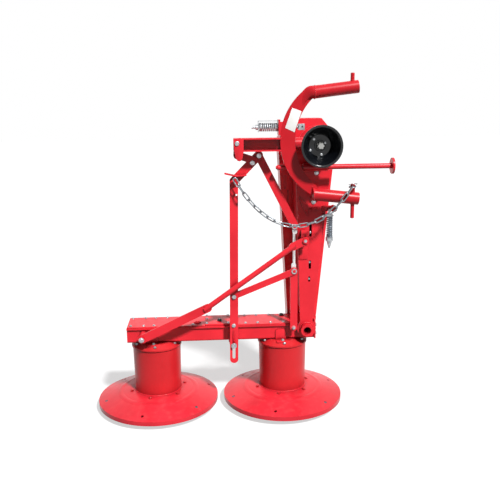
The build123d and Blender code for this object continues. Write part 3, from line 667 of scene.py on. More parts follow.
@dataclass
class WeldBead:
    """A rippled weld bead along each of some paths, painted over with the frame."""

    name: str
    size: float = 3.6
    ripple: ClassVar[float] = 5.0
    swell: ClassVar[float] = 0.13
    unevenness: ClassVar[float] = 0.05
    steps: ClassVar[int] = 3

    def build(self, paths: list[list[Point]], body: Body, looped: bool = False) -> None:
        """Make the beads as one piece.

        Args:
            paths: The corners that the beads run along.
            body: The body that they ride on.
            looped: Whether each path is a loop.
        """
        draft = Draft(self.name)
        shake = random.Random(self.name)
        for path in paths:
            points = self.spread([Vector(corner) for corner in path], looped)
            radii = []
            for index in range(len(points)):
                wave = self.swell * math.cos(math.tau * index / self.steps)
                radii.append(
                    self.size * (1 + wave + shake.uniform(-self.unevenness, self.unevenness))
                )
            draft.tube(points, radii, looped=looped)
        draft.done(RED, body, 60)

    def spread(self, path: list[Vector], looped: bool) -> list[Vector]:
        """Spread points along a path, a few to each ripple.

        Args:
            path: The path's corners.
            looped: Whether the path is a loop.

        Returns:
            The points.
        """
        corners = path + [path[0]] if looped else path
        points = [corners[0]]
        for start, end in zip(corners, corners[1:]):
            count = max(1, round((end - start).length / (self.ripple / self.steps)))
            points += [start.lerp(end, step / count) for step in range(1, count + 1)]
        return points[:-1] if looped else points


@dataclass
class PivotRing:
    """A plated ring round the painted head of a pivot pin."""

    name: str
    place: Point
    outer: float
    inner: ClassVar[float] = 9.5
    height: ClassVar[float] = 4.0
    chamfer: ClassVar[float] = 0.8

    def build(self, body: Body) -> None:
        """Make the ring and the pin's head.

        Args:
            body: The body that they ride on.
        """
        high, edge = self.height, self.height - self.chamfer
        section = [
            (self.inner, 0), (self.outer, 0), (self.outer, edge), (self.outer - self.chamfer, high),
            (self.inner + self.chamfer, high), (self.inner, edge),
        ]
        ring = Draft(f"{self.name}_ring")
        ring.turned(self.place, -Y_AXIS, section, 32, looped=True)
        ring.done(ZINC, body)
        face = self.inner - 0.4
        dome = [(face, 0), (face, edge), (face - 2.5, high), (1.0, high + 0.6)]
        head = Draft(f"{self.name}_head")
        head.turned(self.place, -Y_AXIS, dome, 24)
        head.done(RED, body)


@dataclass
class CoilSpring:
    """A coil spring as the wound wire it is, on its rod, in place of a packed spring."""

    name: str
    node: str
    start: Point
    axis: Vector
    length: float
    radius: float
    wire: float
    turns: int
    rod: Outline
    rod_sides: int
    turn_steps: ClassVar[int] = 20
    flat_share: ClassVar[float] = 0.07

    def build(self, body: Body, finish: Finish) -> None:
        """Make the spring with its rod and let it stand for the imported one.

        Args:
            body: The body that it rides on.
            finish: Its finish.
        """
        draft = Draft(self.name)
        draft.tube(self.helix(), [self.wire])
        draft.turned(self.start, self.axis, self.rod, self.rod_sides)
        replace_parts(draft.done(finish, body), self.node)

    def helix(self) -> list[Vector]:
        """Give the wire's centre line, whose first and last turn lie flat.

        Returns:
            The points of the wire.
        """
        first, second = perpendicular(self.axis)
        base = Vector(self.start) + self.axis * self.wire
        length, radius = self.length - 2 * self.wire, self.radius - self.wire
        points = []
        for index in range(self.turns * self.turn_steps + 1):
            turn = index / self.turn_steps
            free = min(1.0, max(0.0, (turn - 1) / (self.turns - 2)))
            flat = (min(turn, 1.0) + max(0.0, turn - self.turns + 1)) / 2
            along = length * (self.flat_share * flat + (1 - self.flat_share) * free)
            angle = math.tau * turn
            across = first * (radius * math.cos(angle)) + second * (radius * math.sin(angle))
            points.append(base + self.axis * along + across)
        return points


def shading() -> bpy.types.NodeTree:
    """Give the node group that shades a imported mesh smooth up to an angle, made once.

    Returns:
        The geometry node group.
    """
    name = "smooth_by_angle"
    if name in bpy.data.node_groups:
        return bpy.data.node_groups[name]
    group = bpy.data.node_groups.new(name, "GeometryNodeTree")
    for way in ("INPUT", "OUTPUT"):
        group.interface.new_socket("Geometry", in_out=way, socket_type="NodeSocketGeometry")
    nodes = Nodes(group)
    packed = {0: nodes.add("NodeGroupInput").outputs[0], "Name": "custom_normal"}
    plain = nodes.add("GeometryNodeRemoveAttribute", packed).outputs[0]
    angle = nodes.add("GeometryNodeInputMeshEdgeAngle").outputs["Unsigned Angle"]
    below = {"operation": "LESS_THAN", 0: angle, 1: SMOOTH_BELOW}
    gentle = nodes.add("FunctionNodeCompare", below).outputs[0]
    faces = nodes.add("GeometryNodeSetShadeSmooth", {"domain": "FACE", 0: plain}).outputs[0]
    by_edge = {"domain": "EDGE", 0: faces, 2: gentle}
    edges = nodes.add("GeometryNodeSetShadeSmooth", by_edge).outputs[0]
    nodes.add("NodeGroupOutput", {0: edges})
    return group


def dress(node: str, finish: Finish, rounding: float) -> None:
    """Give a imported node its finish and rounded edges; its mesh stays as packed.

    Args:
        node: The node's name.
        finish: The finish that it wears.
        rounding: The width of the rounding on its edges.
    """
    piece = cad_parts[node]
    slots = piece.data.materials
    if len(slots) == 0:
        slots.append(None)
    for index in range(len(slots)):
        slots[index] = finish.material()
    steps = (
        ("weld", "WELD", {"merge_threshold": WELD_REACH}),
        ("flats", "DECIMATE", {"decimate_type": "DISSOLVE", "angle_limit": FLAT_BELOW}),
        ("edges", "BEVEL", {"width": rounding * MM, "segments": 2, "limit_method": "ANGLE",
                            "angle_limit": SMOOTH_BELOW, "harden_normals": False}),
        ("smooth", "NODES", {"node_group": shading()}),
        # Large faces lead, so that a flat plate also shades flat up to its rounded edge
        ("flat_shading", "WEIGHTED_NORMAL", {"keep_sharp": True}),
    )
    for name, kind, settings in steps:
        modifier = piece.modifiers.new(name, kind)
        for key, value in settings.items():
            setattr(modifier, key, value)
    LOG.info("dressed %s", node)


@dataclass
class Assembly:
    """A sub-assembly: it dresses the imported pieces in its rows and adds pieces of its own."""

    rows: ClassVar[Rows] = ()

    def build(self) -> None:
        """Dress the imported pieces, add the new ones and report."""
        for finish, rounding, nodes in self.rows:
            for node in nodes.split():
                dress(node, finish, rounding)
        self.add_pieces()
        LOG.info("built %s", type(self).__name__)

    def add_pieces(self) -> None:
        """Add the pieces that only this script makes."""


@dataclass
class CutterBar(Assembly):
    """The cutter bar: gear trough with its screwed covers, drum caps, journal and lift links."""

    rows: ClassVar[Rows] = (
        (RED, 1.4, "gear_trough gear_cover_outer gear_cover_middle gear_cover_inner bar_end_plate"),
        (RED, 1.4, "hinge_journal slot_stud crank_stud lift_crank lift_strut stay_bolt"),
        (DRUM_RED, 1.4, "drum_cap_outer drum_cap_inner"),
        (WHITE_ZINC, 1.0, "tie_rod"),
    )
    half: float = 84.0
    cover: float = 541.0
    middle: float = 546.0
    end: float = 196.0
    drums: tuple[float, ...] = (-780.0, 0.0)
    cap_bolt_r: float = 132.0
    cap_bolt_z: float = 423.5
    outer_bolts: tuple[float, ...] = (-926, -848, -786, -714, -630, -550)
    middle_bolts: tuple[float, ...] = (-467, -336)
    inner_bolts: tuple[float, ...] = (-306, -232, -158, -78, 0, 78)
    bolt_line: float = 72.0

    def add_pieces(self) -> None:
        """Add the bolts, plugs, brackets and beads."""
        self.cover_bolts()
        self.plugs()
        self.cap_fittings()
        self.beads()
        self.link_bolts()

    def cover_bolts(self) -> None:
        """Add the rows of bolts along the covers' edges."""
        line, cover, middle = self.bolt_line, self.cover, self.middle
        places = [(x, side * line, cover) for x in self.outer_bolts for side in (-1, 1)]
        places += [(x, line, cover) for x in self.inner_bolts if x != 0]
        places += [(x, -line, cover) for x in self.inner_bolts[:-1]]
        places += [(x, side * line, middle) for x in self.middle_bolts for side in (-1, 1)]
        places.append((self.middle_bolts[0], 13, middle))
        BoltSet("cover_bolts", places, Z_AXIS, 13.0, 5.5, 9.5).build(Body.BAR)

    def plugs(self) -> None:
        """Add the rubber breather plugs and the painted filler boss."""
        dome = [(15, 0), (15, 3), (12, 4), (12, 11), (10, 14), (5, 15.5), (1, 16)]
        rubber = Draft("breather_plugs")
        rubber.turned((-389, -28, self.middle - 0.5), Z_AXIS, dome)
        rubber.turned((0, 56, self.cover - 0.5), Z_AXIS, dome)
        rubber.done(BLACK, Body.BAR)
        rim = [(22, 0), (22, 5), (19, 8), (14, 8), (14, 11), (12, 13), (1, 13.5)]
        boss = Draft("filler_boss")
        boss.turned((-524, -32, self.cover - 0.5), Z_AXIS, rim, 32)
        boss.done(RED, Body.BAR)

    def cap_fittings(self) -> None:
        """Add the bolts round each drum cap and the foot bracket in front of it."""
        brackets = Draft("cap_foot_brackets")
        bolts, feet = [], []
        for x in self.drums:
            bolts += [(spot.x, spot.y, spot.z) for spot in self.cap_ring(x)]
            left, right, front = x - 50, x + 14, -self.half - 7
            wall = [
                (left, 440), (right, 440), (right, 492), (right - 12, 502), (left + 12, 502),
                (left, 492),
            ]
            brackets.plate(wall, 1, front, 7.5, 0.8)
            foot = [(left, front + 2), (right, front + 2), (right - 6, -128), (left + 6, -128)]
            brackets.plate(foot, 2, 428, 9, 0.8)
            feet.append((x - 8, -112, 437.4))
        brackets.done(RED, Body.BAR)
        BoltSet("cap_bolts", bolts, Z_AXIS, 13.0, 6.5, 10.5).build(Body.BAR)
        BoltSet("cap_foot_bolts", feet, Z_AXIS, 15.0, 8.0, 12.0).build(Body.BAR)

    def cap_ring(self, x: float) -> list[Vector]:
        """Give the places of a drum cap's six bolts, half a step off X."""
        return arc((x, 0, self.cap_bolt_z), Y_AXIS, self.cap_bolt_r, 12)[1::2]

    def beads(self) -> None:
        """Add the weld beads at the end plate and the stud lug."""
        front, seam = self.half + 1, self.end - 9
        plate = [[(seam, side * front, 452), (seam, side * front, 521)] for side in (-1, 1)]
        WeldBead("end_plate_weld").build(plate, Body.BAR)
        lug = [[(x, -front, 428), (x, -front, 517)] for x in (-333, -281)]
        WeldBead("stud_lug_weld", 3.0).build(lug, Body.BAR)

    def link_bolts(self) -> None:
        """Add the stay's foot nut, the crank's nut and pivot ring and the end plate's bolts."""
        foot, crank = [(-851, -200, 497.5)], [(55, -141, 527)]
        BoltSet("stay_foot_nut", foot, -Y_AXIS, 22.0, 6.0, 16.0).build(Body.BAR)
        BoltSet("crank_nut", crank, -Y_AXIS, 17.0, 9.0, 12.0).build(Body.BAR)
        PivotRing("crank_pivot", (55, -149, 879), 16.5).build(Body.BAR)
        plate = [(self.end, y, z) for y in (-62, 62) for z in (462, 516)]
        BoltSet("end_plate_bolts", plate, X_AXIS, 17.0, 8.0, 13.0).build(Body.BAR)


@dataclass
class DrumUnit(Assembly):
    """A mowing drum with its knife disc, foot bolts, soft crease and glide dish."""

    side: str
    x: float
    body: Body
    foot_r: float = 167.0
    foot_z: float = 113.0
    foot_turn: float = 17.0
    foot_bolts: int = 6
    weld_r: float = 143.5
    weld_z: float = 117.0

    @property
    def rows(self) -> Rows:
        """Give the finishes of this side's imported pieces.

        Returns:
            Each row's finish, edge rounding and node.
        """
        return (
            (DRUM_RED, 1.6, f"drum_{self.side}"),
            (DISC_RED, 1.2, f"knife_disc_{self.side}"),
            (DISC_RED, 1.0, f"glide_dish_{self.side}"),
            (DARK_ZINC, 1.0, f"knife_pins_{self.side}"),
        )

    def add_pieces(self) -> None:
        """Add the foot bolts, the crease and the weld at the drum's foot."""
        places = []
        for index in range(self.foot_bolts):
            angle = math.radians(self.foot_turn) + math.tau * index / self.foot_bolts
            reach = (math.cos(angle) * self.foot_r, math.sin(angle) * self.foot_r)
            places.append((self.x + reach[0], reach[1], self.foot_z))
        bolts = BoltSet(f"foot_bolts_{self.side}", places, Z_AXIS, 15.0, 6.5, 12.0)
        bolts.build(self.body, DRUM_RED)
        crease = Draft(f"disc_crease_{self.side}")
        section = [(214, 105.8), (226, 106.3), (234, 105.6), (242, 103.6), (257, 96.2)]
        crease.turned((self.x, 0, 0), Z_AXIS, section, 96, looped=True)
        crease.done(DISC_RED, self.body)
        ring = arc((self.x, 0, self.weld_z), Y_AXIS, self.weld_r, 60)
        WeldBead(f"drum_foot_weld_{self.side}", 3.2).build([ring], self.body, looped=True)


@dataclass
class Boom(Assembly):
    """The folding boom: front plate, beam, belt guard, stand sleeve, stay bracket and spring."""

    rows: ClassVar[Rows] = (
        (RED, 1.4, "boom_plate boom_beam belt_guard bearing_housing swing_lug stand_sleeve"),
        (RED, 1.4, "stay_bracket"),
        (ZINC, 1.0, "boom_spring_mount"),
    )
    plate_front: float = -112.0
    slot_floor: float = -101.5
    guard_back: float = 230.0
    hinge: tuple[float, float] = (137.0, 508.0)
    shaft: tuple[float, float] = (184.0, 1616.0)
    guard_outline: Outline = (
        (45, 524), (229, 524), (330, 1560), (330, 1640), (300, 1695), (248, 1757), (122, 1757),
        (30, 1700), (-11, 1640), (-11, 1555),
    )
    rim_inset: float = 15.0
    rim_spacing: float = 170.0
    rim_low: float = 560.0

    def add_pieces(self) -> None:
        """Add the spring, plates, bolts, pressings and beads."""
        CoilSpring(
            "boom_coil_spring", "boom_spring", (262, -140, 1080), Z_AXIS,
            length=124, radius=18.5, wire=4.0, turns=12, rod=[(6.5, 0), (6.5, 124)], rod_sides=16,
        ).build(Body.BOOM, DARK_ZINC)
        self.plates()
        self.bolts()
        self.guard_pressings()
        self.beads()

    def plates(self) -> None:
        """Add the doubler, the lug, the gusset, the clevis leaves and the spring's eye."""
        front = self.plate_front
        draft = Draft("boom_face_plates")
        doubler = [(92, 944), (138, 944), (138, 1040), (92, 1040)]
        draft.plate(doubler, 1, front - 5, 5.5, 0.8)
        lug = [(222, 1228), (262, 1232), (296, 1240), (296, 1262), (262, 1262), (222, 1262)]
        draft.plate(lug, 1, front - 10, 10.5, 1.0)
        gusset = [(84, 1318), (137, 1266), (137, 1203), (104, 1262)]
        draft.plate(gusset, 1, front - 12, 12.5, 1.0)
        leaf = [(150, front + 0.5), (206, front + 0.5), (206, front - 26), (158, front - 26)]
        for level in (1242, 1310):
            draft.plate(leaf, 2, level, 6, 1.0)
        eye = [(19, 0), (19, 38), (17.5, 40), (9, 40), (9, 36), (1, 36)]
        draft.turned((284, front - 6, 1248), -Y_AXIS, eye, 32)
        draft.done(RED, Body.BOOM)

    def bolts(self) -> None:
        """Add the bolts of the front plate and the bolts in its slots."""
        face = [(186, self.plate_front, 1452), (172, self.plate_front, 1284)]
        BoltSet("boom_face_bolts", face, -Y_AXIS, 17.0, 8.0, 13.0).build(Body.BOOM)
        slots = [(x, self.slot_floor, z) for x, z in ((155, 1102), (153, 922), (150, 820))]
        BoltSet("boom_slot_bolts", slots, -Y_AXIS, 10.0, 6.0, 7.0).build(Body.BOOM)

    def guard_pressings(self) -> None:
        """Press discs and ridges into the guard's back, and bolt it on round its rim."""
        draft = Draft("guard_back_pressings")
        discs = (
            (self.shaft[0] - 16, self.shaft[1] - 6, 122), (self.hinge[0], self.hinge[1] + 8, 66)
        )
        for x, z, radius in discs:
            outline = [(radius, 0), (radius - 5, 5), (radius * 0.42, 8), (radius * 0.34, 4), (1, 4)]
            draft.turned((x, self.guard_back - 0.5, z), Y_AXIS, outline, 56)
        for share in (0.24, 0.5, 0.76):
            low = 600 + share * 760
            ridge = [(130, self.guard_back, low), (142, self.guard_back, low + 100)]
            draft.tube([Vector(end) for end in ridge], [7], 12)
        draft.done(RED, Body.BOOM, 30)
        BoltSet("guard_bolts", self.rim_places(), Y_AXIS, 13.0, 6.0, 10.5).build(Body.BOOM)

    def rim_places(self) -> list[Point]:
        """Spread the bolts along the guard's rim, inside its outline.

        Returns:
            The bolts' places.
        """
        corners = [Vector(corner) for corner in self.guard_outline]
        places = []
        for start, end in zip(corners, corners[1:] + corners[:1]):
            run = end - start
            inward = Vector((-run.y, run.x)).normalized() * self.rim_inset
            count = max(1, round(run.length / self.rim_spacing))
            for step in range(count):
                spot = start + run * ((step + 0.5) / count) + inward
                if spot.y > self.rim_low:
                    places.append((spot.x, self.guard_back, spot.y))
        return places

    def beads(self) -> None:
        """Add the weld beads at the hinge bush, the bearing housing and the doubler."""
        front = self.plate_front - 1
        rounds = (
            ("bush_weld", 4.6, self.hinge, 40.5, 36), ("housing_weld", 3.4, self.shaft, 59.0, 40)
        )
        for name, size, (x, z), radius, steps in rounds:
            ring = arc((x, front, z), Z_AXIS, radius, steps)
            WeldBead(name, size).build([ring], Body.BOOM, looped=True)
        doubler = [[(90, front, 944), (90, front, 1036)], [(92, front, 942), (138, front, 942)]]
        WeldBead("doubler_weld", 2.6).build(doubler, Body.BOOM)


@dataclass
class DriveHead(Assembly):
    """The drive head: splined stub, seal ring and the black guard cup."""

    rows: ClassVar[Rows] = ((BLACK, 1.0, "pto_guard"), (STEEL, 0.8, "input_shaft"))
    x: float = 184.0
    z: float = 1616.0
    back: float = -226.0
    bolt_places: Outline = ((151, 1651), (213, 1630), (131, 1590), (194, 1566))

    def add_pieces(self) -> None:
        """Add the cup's bolts, the seal ring round the stub and the cup's bead and lip."""
        places = [(x, self.back, z) for x, z in self.bolt_places]
        BoltSet("cup_bolts", places, -Y_AXIS, 10.0, 5.0, 7.0).build(Body.BOOM)
        seal = [(18.2, 0.4), (31, 0.4), (31, -4), (29, -6), (21, -6), (18.2, -4)]
        bead = [(97.5, -62), (101, -64), (103, -68), (99.5, -70), (97, -66)]
        lip = [
            (113.4, -86), (112.6, -89.3), (108, -89.6), (103.5, -87.2), (100.8, -82.6),
            (103.8, -79.5),
        ]
        draft = Draft("shaft_seal")
        for section, sides in ((seal, 48), (bead, 72), (lip, 72)):
            draft.turned((self.x, self.back, self.z), Y_AXIS, section, sides, looped=True)
        draft.done(BLACK, Body.BOOM, 60)


@dataclass
class HitchFrame(Assembly):
    """The hitch frame: crescent arch with its tubes and pins, mast, latch and label plate."""

    rows: ClassVar[Rows] = (
        (ARCH_RED, 1.4, "hitch_arch hitch_pin_upper hitch_pin_lower"),
        (RED, 1.4, "mast_channel mast_gusset lift_lever pull_bar release_handle latch_bracket"),
        (RED, 1.4, "swing_pin"),
        (RED, 1.0, "linkage_pins"),
        (ZINC, 1.0, "latch_bolt"),
    )
    arch_y: float = -225.0
    arch_t: float = 16.0
    tube_r: float = 35.0
    root_x: float = 150.0
    root_weld_z: tuple[float, float] = (1904.0, 1345.0)
    mid_z: float = 1644.5
    outer_arc: tuple[float, float] = (345.0, 308.0)
    inner_arc: tuple[float, float] = (319.0, 365.0)
    swage_steps: int = 8
    mast_seams: tuple[float, float] = (1588.0, 1663.0)
    mast_front: float = -257.0
    pin_x: float = 375.0
    linch_z: float = 1396.8
    latch_left: float = -152.0
    latch_right: float = -46.0
    latch_y: float = -192.0
    latch_z: float = 1717.5
    latch_r: float = 24.0
    strap_half: float = 15.0

    def add_pieces(self) -> None:
        """Add the plates, latch, bolts and beads."""
        self.swages()
        self.label()
        self.mast_plate()
        self.latch()
        self.bolts()
        self.beads()
        self.linch_pin()

    def swages(self) -> None:
        """Let the tubes' flattened ends run out over the arch plate."""
        draft = Draft("tube_swages")
        (outer_r, outer_x), (inner_r, inner_x) = self.outer_arc, self.inner_arc
        for root, high, reach in ((1903.8, 1, 84), (1345.1, -1, 12)):
            rings = []
            for step in range(self.swage_steps + 1):
                share = step / self.swage_steps
                ease = share * share * (3 - 2 * share)
                x = self.root_x + 1 - reach * share
                outer = math.sqrt(outer_r**2 - (outer_x - x) ** 2)
                inner = math.sqrt(inner_r**2 - (inner_x - x) ** 2)
                middle = self.mid_z + high * (outer + inner) / 2
                tall, deep = (outer - inner) / 2 - 3, self.arch_t / 2 - 2.5
                centre = Vector((x, self.arch_y, root + (middle - root) * ease))
                up = Z_AXIS * (self.tube_r + (tall - self.tube_r) * ease)
                out = Y_AXIS * (self.tube_r + (deep - self.tube_r) * ease)
                rings.append(draft.circle(centre, up, out, [1.0] * 40))
            draft.skin(rings, capped=False)
        draft.done(ARCH_RED, Body.HITCH)

    def label(self) -> None:
        """Add the blank label plate."""
        corners = [(28, 1822), (80, 1803), (42, 1690), (-10, 1715)]
        draft = Draft("label_plate")
        draft.plate(corners, 1, self.arch_y - self.arch_t / 2 - 1.2, 1.4, 0.4)
        draft.done(WHITE, Body.HITCH)

    def mast_plate(self) -> None:
        """Add the flat plate with its rounded ear on the mast's free end."""
        outline = [
            (-297, 1660), (-240, 1660), (-240, 1594), (-246, 1560), (-252, 1544), (-262, 1538),
            (-274, 1541), (-284, 1554), (-291, 1590),
        ]
        front = self.mast_front - 6
        draft = Draft("mast_end_plate")
        draft.plate(outline, 1, front, 6.2, 1.0)
        draft.done(RED, Body.HITCH)
        bolt = [(-276, front, 1635)]
        BoltSet("mast_bolt", bolt, -Y_AXIS, 17.0, 7.0, 12.5).build(Body.HITCH)

    def latch(self) -> None:
        """Make the latch spring as wound wire on its rod, in its bent strap."""
        y, z, left, right = self.latch_y, self.latch_z, self.latch_left, self.latch_right
        CoilSpring(
            "latch_coil_spring", "latch_spring", (left, y, z), X_AXIS, length=right - left,
            radius=self.latch_r, wire=4.4, turns=10, rod=[(8, -6), (8, right - left + 2)],
            rod_sides=18,
        ).build(Body.HITCH, ZINC)
        near, far = y - self.strap_half, y + self.strap_half
        edge, high = left - 4, z + self.latch_r + 9
        strap = Draft("latch_strap")
        top = [(edge, near), (right, near), (right, far), (edge, far)]
        strap.plate(top, 2, high, 3, 0.6)
        end = [(near, z - 26), (far, z - 26), (far, high + 2), (near, high + 2)]
        strap.plate(end, 0, edge, 3, 0.6)
        strap.done(ZINC, Body.HITCH)

    def bolts(self) -> None:
        """Add the heads of the lever's pivots, a black disc of painted shade on the latch nut and
        the pull bar's eye.
        """
        heads = Draft("lever_pin_heads")
        dome = [(14, 0), (14, 3.5), (12, 5.5), (6, 6.5), (1, 6.8)]
        for place in ((-151, -183.5, 1561), (-188, -181.5, 1522)):
            heads.turned(place, -Y_AXIS, dome)
        heads.done(ZINC, Body.HITCH)
        # Painted shade: a thin black disc on the nut's face stands for the dark inside its hole
        hole = Draft("latch_nut_hole_painted_shade")
        place = (88, self.latch_y - 17, self.latch_z + 2)
        hole.turned(place, -Y_AXIS, [(4.5, -1), (4.5, 0.3), (1, 0.3)], 18)
        hole.done(BLACK, Body.HITCH)
        PivotRing("pull_eye", (57, -145, 1145), 15.8).build(Body.HITCH)

    def beads(self) -> None:
        """Add the weld beads where the mast and the tubes meet the arch."""
        face = self.arch_y - self.arch_t / 2 - 1
        seams = [[(-31, face, z), (-34, self.mast_front + 1, z)] for z in self.mast_seams]
        WeldBead("mast_weld", 3.2).build(seams, Body.HITCH)
        turns = [math.radians(70 + 22 * step) for step in range(11)]
        spots = [(math.cos(turn) * self.tube_r, math.sin(turn) * self.tube_r) for turn in turns]
        x = self.root_x + 2
        roots = [[(x, self.arch_y + y, z + up) for y, up in spots] for z in self.root_weld_z]
        WeldBead("tube_root_weld", 3.2).build(roots, Body.HITCH)

    def linch_pin(self) -> None:
        """Add the linch pin with its spring ring through the lower pin's head."""
        draft = Draft("linch_pin")
        shank = [(2.6, 0), (2.9, 1), (2.9, 46), (2.6, 47)]
        draft.turned((self.pin_x - 24, self.arch_y, self.linch_z), X_AXIS, shank, 14)
        ring = arc((self.pin_x + 8, self.arch_y - 4, self.linch_z + 3), Y_AXIS, 17, 32)
        draft.tube(ring, [1.7], looped=True)
        draft.done(ZINC, Body.HITCH)


@dataclass
class LiftChain(Assembly):
    """The lift chain: long welded links of round wire that hang in a catenary."""

    start: Point = (-291.0, -208.0, 1437.0)
    end: Point = (361.0, -280.0, 1390.0)
    pin: tuple[float, float] = (375.0, -225.0)
    links: int = 18
    wire: float = 3.7
    inside: float = 48.6
    width: float = 27.6
    pitch: float = 47.4
    twist: float = 42.0
    twisted_links: int = 10
    ring_inner: float = 13.3
    bend_steps: int = 8
    size_limits: tuple[float, float] = (50.0, 5000.0)
    halvings: int = 60

    def curve(self) -> tuple[float, float, float]:
        """Work out the catenary through both ends for the chain's length.

        Returns:
            The catenary's size, the X of its lowest point and its base height.
        """
        span = self.end[0] - self.start[0]
        rise = self.end[2] - self.start[2]
        flat = math.sqrt((self.links * self.pitch) ** 2 - rise**2)
        low, high = self.size_limits
        for _ in range(self.halvings):
            middle = (low + high) / 2
            if 2 * middle * math.sinh(span / (2 * middle)) > flat:
                low = middle
            else:
                high = middle
        lean = low * math.asinh(rise / (2 * low * math.sinh(span / (2 * low))))
        centre = self.start[0] + span / 2 - lean
        return low, centre, self.start[2] - low * math.cosh((self.start[0] - centre) / low)

    def at(self, along: float) -> Vector:
        """Give the chain's place at a length along it from its start.

        Args:
            along: The length from the start.

        Returns:
            The place.
        """
        size, centre, base = self.curve()
        start = size * math.sinh((self.start[0] - centre) / size)
        x = centre + size * math.asinh((start + along) / size)
        share = (x - self.start[0]) / (self.end[0] - self.start[0])
        y = self.start[1] + share * (self.end[1] - self.start[1])
        return Vector((x, y, base + size * math.cosh((x - centre) / size)))

    def loop(
        self, middle: Vector, run: Vector, side: Vector, straight: float, radius: float
    ) -> list[Vector]:
        """Give the centre line of one link.

        Args:
            middle: The link's middle.
            run: The link's long direction.
            side: The direction across the link.
            straight: The distance between the middles of its bends.
            radius: The bends' radius.

        Returns:
            The points round the link.
        """
        points = []
        for end in (1, -1):
            for step in range(self.bend_steps + 1):
                angle = math.pi * (step / self.bend_steps - 0.5)
                along = end * (straight / 2 + radius * math.cos(angle))
                points.append(middle + run * along + side * (end * radius * math.sin(angle)))
        return points

    def add_pieces(self) -> None:
        """Make the links and the end ring as one piece."""
        draft = Draft("welded_lift_chain")
        radius = self.width / 2 - self.wire
        straight = self.inside + 2 * self.wire - 2 * radius
        for index in range(self.links):
            before, after = self.at(index * self.pitch), self.at((index + 1) * self.pitch)
            run = (after - before).normalized()
            upright = Y_AXIS.cross(run).normalized()
            share = min(index, self.twisted_links) / self.twisted_links
            turn = math.radians(self.twist * math.sin(math.pi * share) + 90 * (index % 2))
            side = upright * math.cos(turn) + run.cross(upright) * math.sin(turn)
            points = self.loop((before + after) / 2, run, side, straight, radius)
            draft.tube(points, [self.wire], looped=True)
        hook = self.at(self.links * self.pitch - self.wire - 0.6)
        pin = Vector((*self.pin, hook.z))
        run = (hook - pin).normalized()
        bend = self.ring_inner + self.wire
        reach = (hook - pin).length - bend
        points = self.loop(pin + run * (reach / 2), run, run.cross(Z_AXIS), reach, bend)
        draft.tube(points, [self.wire], looped=True)
        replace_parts(draft.done(GALVANISED, Body.HITCH), "lift_chain")


@dataclass
class StayAndStand(Assembly):
    """The transport stay, the parking stand and the slotted lift bar."""

    rows: ClassVar[Rows] = (
        (RED, 1.4, "transport_stay stay_eye stand_leg lift_rod"),
        (ZINC, 1.0, "lift_rod_bolts"),
    )
    stay_front: float = -190.0
    bar_front: float = -158.0

    def add_pieces(self) -> None:
        """Add the bolts and the bead."""
        head, bolt = [(113.5, self.stay_front, 1070)], [(-306, self.bar_front, 557)]
        BoltSet("stay_head_nut", head, -Y_AXIS, 19.0, 9.6, 12.5).build(Body.STAY)
        BoltSet("lift_bar_bolt", bolt, -Y_AXIS, 17.0, 7.0, 12.0).build(Body.LIFT_BAR)
        level = self.stay_front - 0.5
        WeldBead("stay_weld", 2.4).build([[(-478, level, 690), (-440, level, 700)]], Body.STAY)


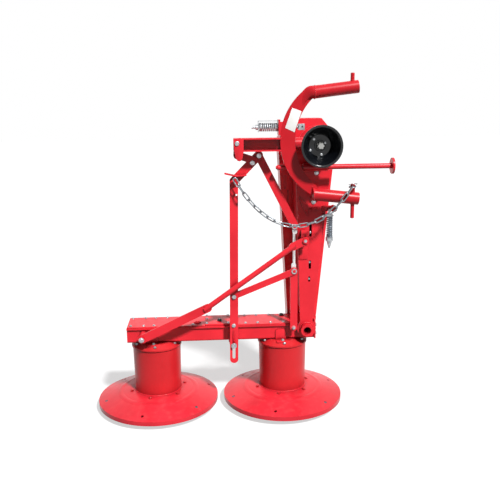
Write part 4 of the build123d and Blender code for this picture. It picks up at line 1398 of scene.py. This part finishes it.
@dataclass
class Studio(Assembly):
    """The floor, the lights and the camera."""

    focal_px: float = 653.69
    image_px: float = 500.0
    sensor: float = 36.0
    camera: Point = (-0.42346, -3.85524, 1.85314)
    pitch: float = 12.73
    yaw: float = 3.38
    roll: float = -0.58
    fill: float = 0.11
    key: tuple[float, float] = (4.95, 6.0)
    key_aim: Point = (-0.55, 1.0, -1.2)
    rear: tuple[float, float] = (1.4, 40.0)
    rear_aim: Point = (0.12, -1.0, -0.14)
    floor_bounce: str = "595857"
    floor_glow: float = 0.6
    floor_half: float = 30.0

    def add_pieces(self) -> None:
        """Set up the floor, the world, the lamps and the camera."""
        self.floor()
        self.world()
        self.lamps()
        self.aim()

    def floor(self) -> None:
        """Lay a floor that looks white, keeps its shadow and bounces less than it shows."""
        card = bpy.data.materials.new("pale_floor_card")
        nodes = Nodes.of(card)
        seen, white = nodes.shown(), linear(PURE_WHITE)
        colour = nodes.mixed(seen, linear(self.floor_bounce), white)
        matt = nodes.add("ShaderNodeBsdfDiffuse", {"Color": colour})
        glow = nodes.add("ShaderNodeEmission", {"Strength": 1.0, "Color": white})
        share = nodes.maths("MULTIPLY", seen, self.floor_glow)
        lit = nodes.mixed_shader(share, matt, glow)
        nodes.add("ShaderNodeOutputMaterial", {"Surface": lit})
        data = bpy.data.meshes.new("floor")
        signs = ((-1, -1), (1, -1), (1, 1), (-1, 1))
        corners = [(x * self.floor_half, y * self.floor_half, 0) for x, y in signs]
        data.from_pydata(corners, [], [(0, 1, 2, 3)])
        data.materials.append(card)
        add_object("floor", data)

    def world(self) -> None:
        """Light evenly from all round, and show white to the camera, to gloss and in glass."""
        world = bpy.data.worlds.new("studio")
        bpy.context.scene.world = world
        nodes = Nodes.of(world)
        fill, white = (
            nodes.add("ShaderNodeBackground", {"Strength": light, "Color": linear(PURE_WHITE)})
            for light in (self.fill, 1.0)
        )
        blend = nodes.mixed_shader(nodes.shown(), fill, white)
        nodes.add("ShaderNodeOutputWorld", {"Surface": blend})

    def lamps(self) -> None:
        """Hang the key light high at the right, in front, and a weak broad one behind."""
        lamps = (("key", self.key, self.key_aim), ("rear", self.rear, self.rear_aim))
        for name, (energy, spread), aim in lamps:
            data = bpy.data.lights.new(name, "SUN")
            data.energy = energy
            data.angle = math.radians(spread)
            lamp = add_object(name, data)
            lamp.rotation_euler = Vector(aim).to_track_quat("-Z", "Y").to_euler()
            lamp.visible_glossy = name == "key"

    def aim(self) -> None:
        """Place the camera as the photograph was taken."""
        data = bpy.data.cameras.new("camera")
        data.sensor_width = self.sensor
        data.lens = self.focal_px / self.image_px * data.sensor_width
        data.clip_end = 200.0
        pitch, yaw, roll = (math.radians(angle) for angle in (self.pitch, self.yaw, self.roll))
        level = Vector((math.sin(yaw), math.cos(yaw), 0))
        ahead = level * math.cos(pitch) - Z_AXIS * math.sin(pitch)
        right = Vector((math.cos(yaw), -math.sin(yaw), 0))
        above = right.cross(ahead)
        level_right = right * math.cos(roll) + above * math.sin(roll)
        level_up = above * math.cos(roll) - right * math.sin(roll)
        turn = Matrix((level_right, level_up, -ahead)).transposed()
        camera = add_object("camera", data)
        camera.matrix_world = Matrix.Translation(Vector(self.camera)) @ turn.to_4x4()
        bpy.context.scene.camera = camera


def main() -> None:
    """Build every sub-assembly in order and report each."""
    logging.basicConfig(level=logging.INFO, format="%(message)s")
    bpy.context.scene.view_settings.view_transform = "Standard"
    assemblies = (
        CutterBar(),
        DrumUnit("inner", 0.0, Body.DRUM_INNER),
        DrumUnit("outer", -780.0, Body.DRUM_OUTER),
        Boom(),
        DriveHead(),
        HitchFrame(),
        LiftChain(),
        StayAndStand(),
        Studio(),
    )
    for assembly in assemblies:
        assembly.build()


if __name__ == "__main__":
    main()
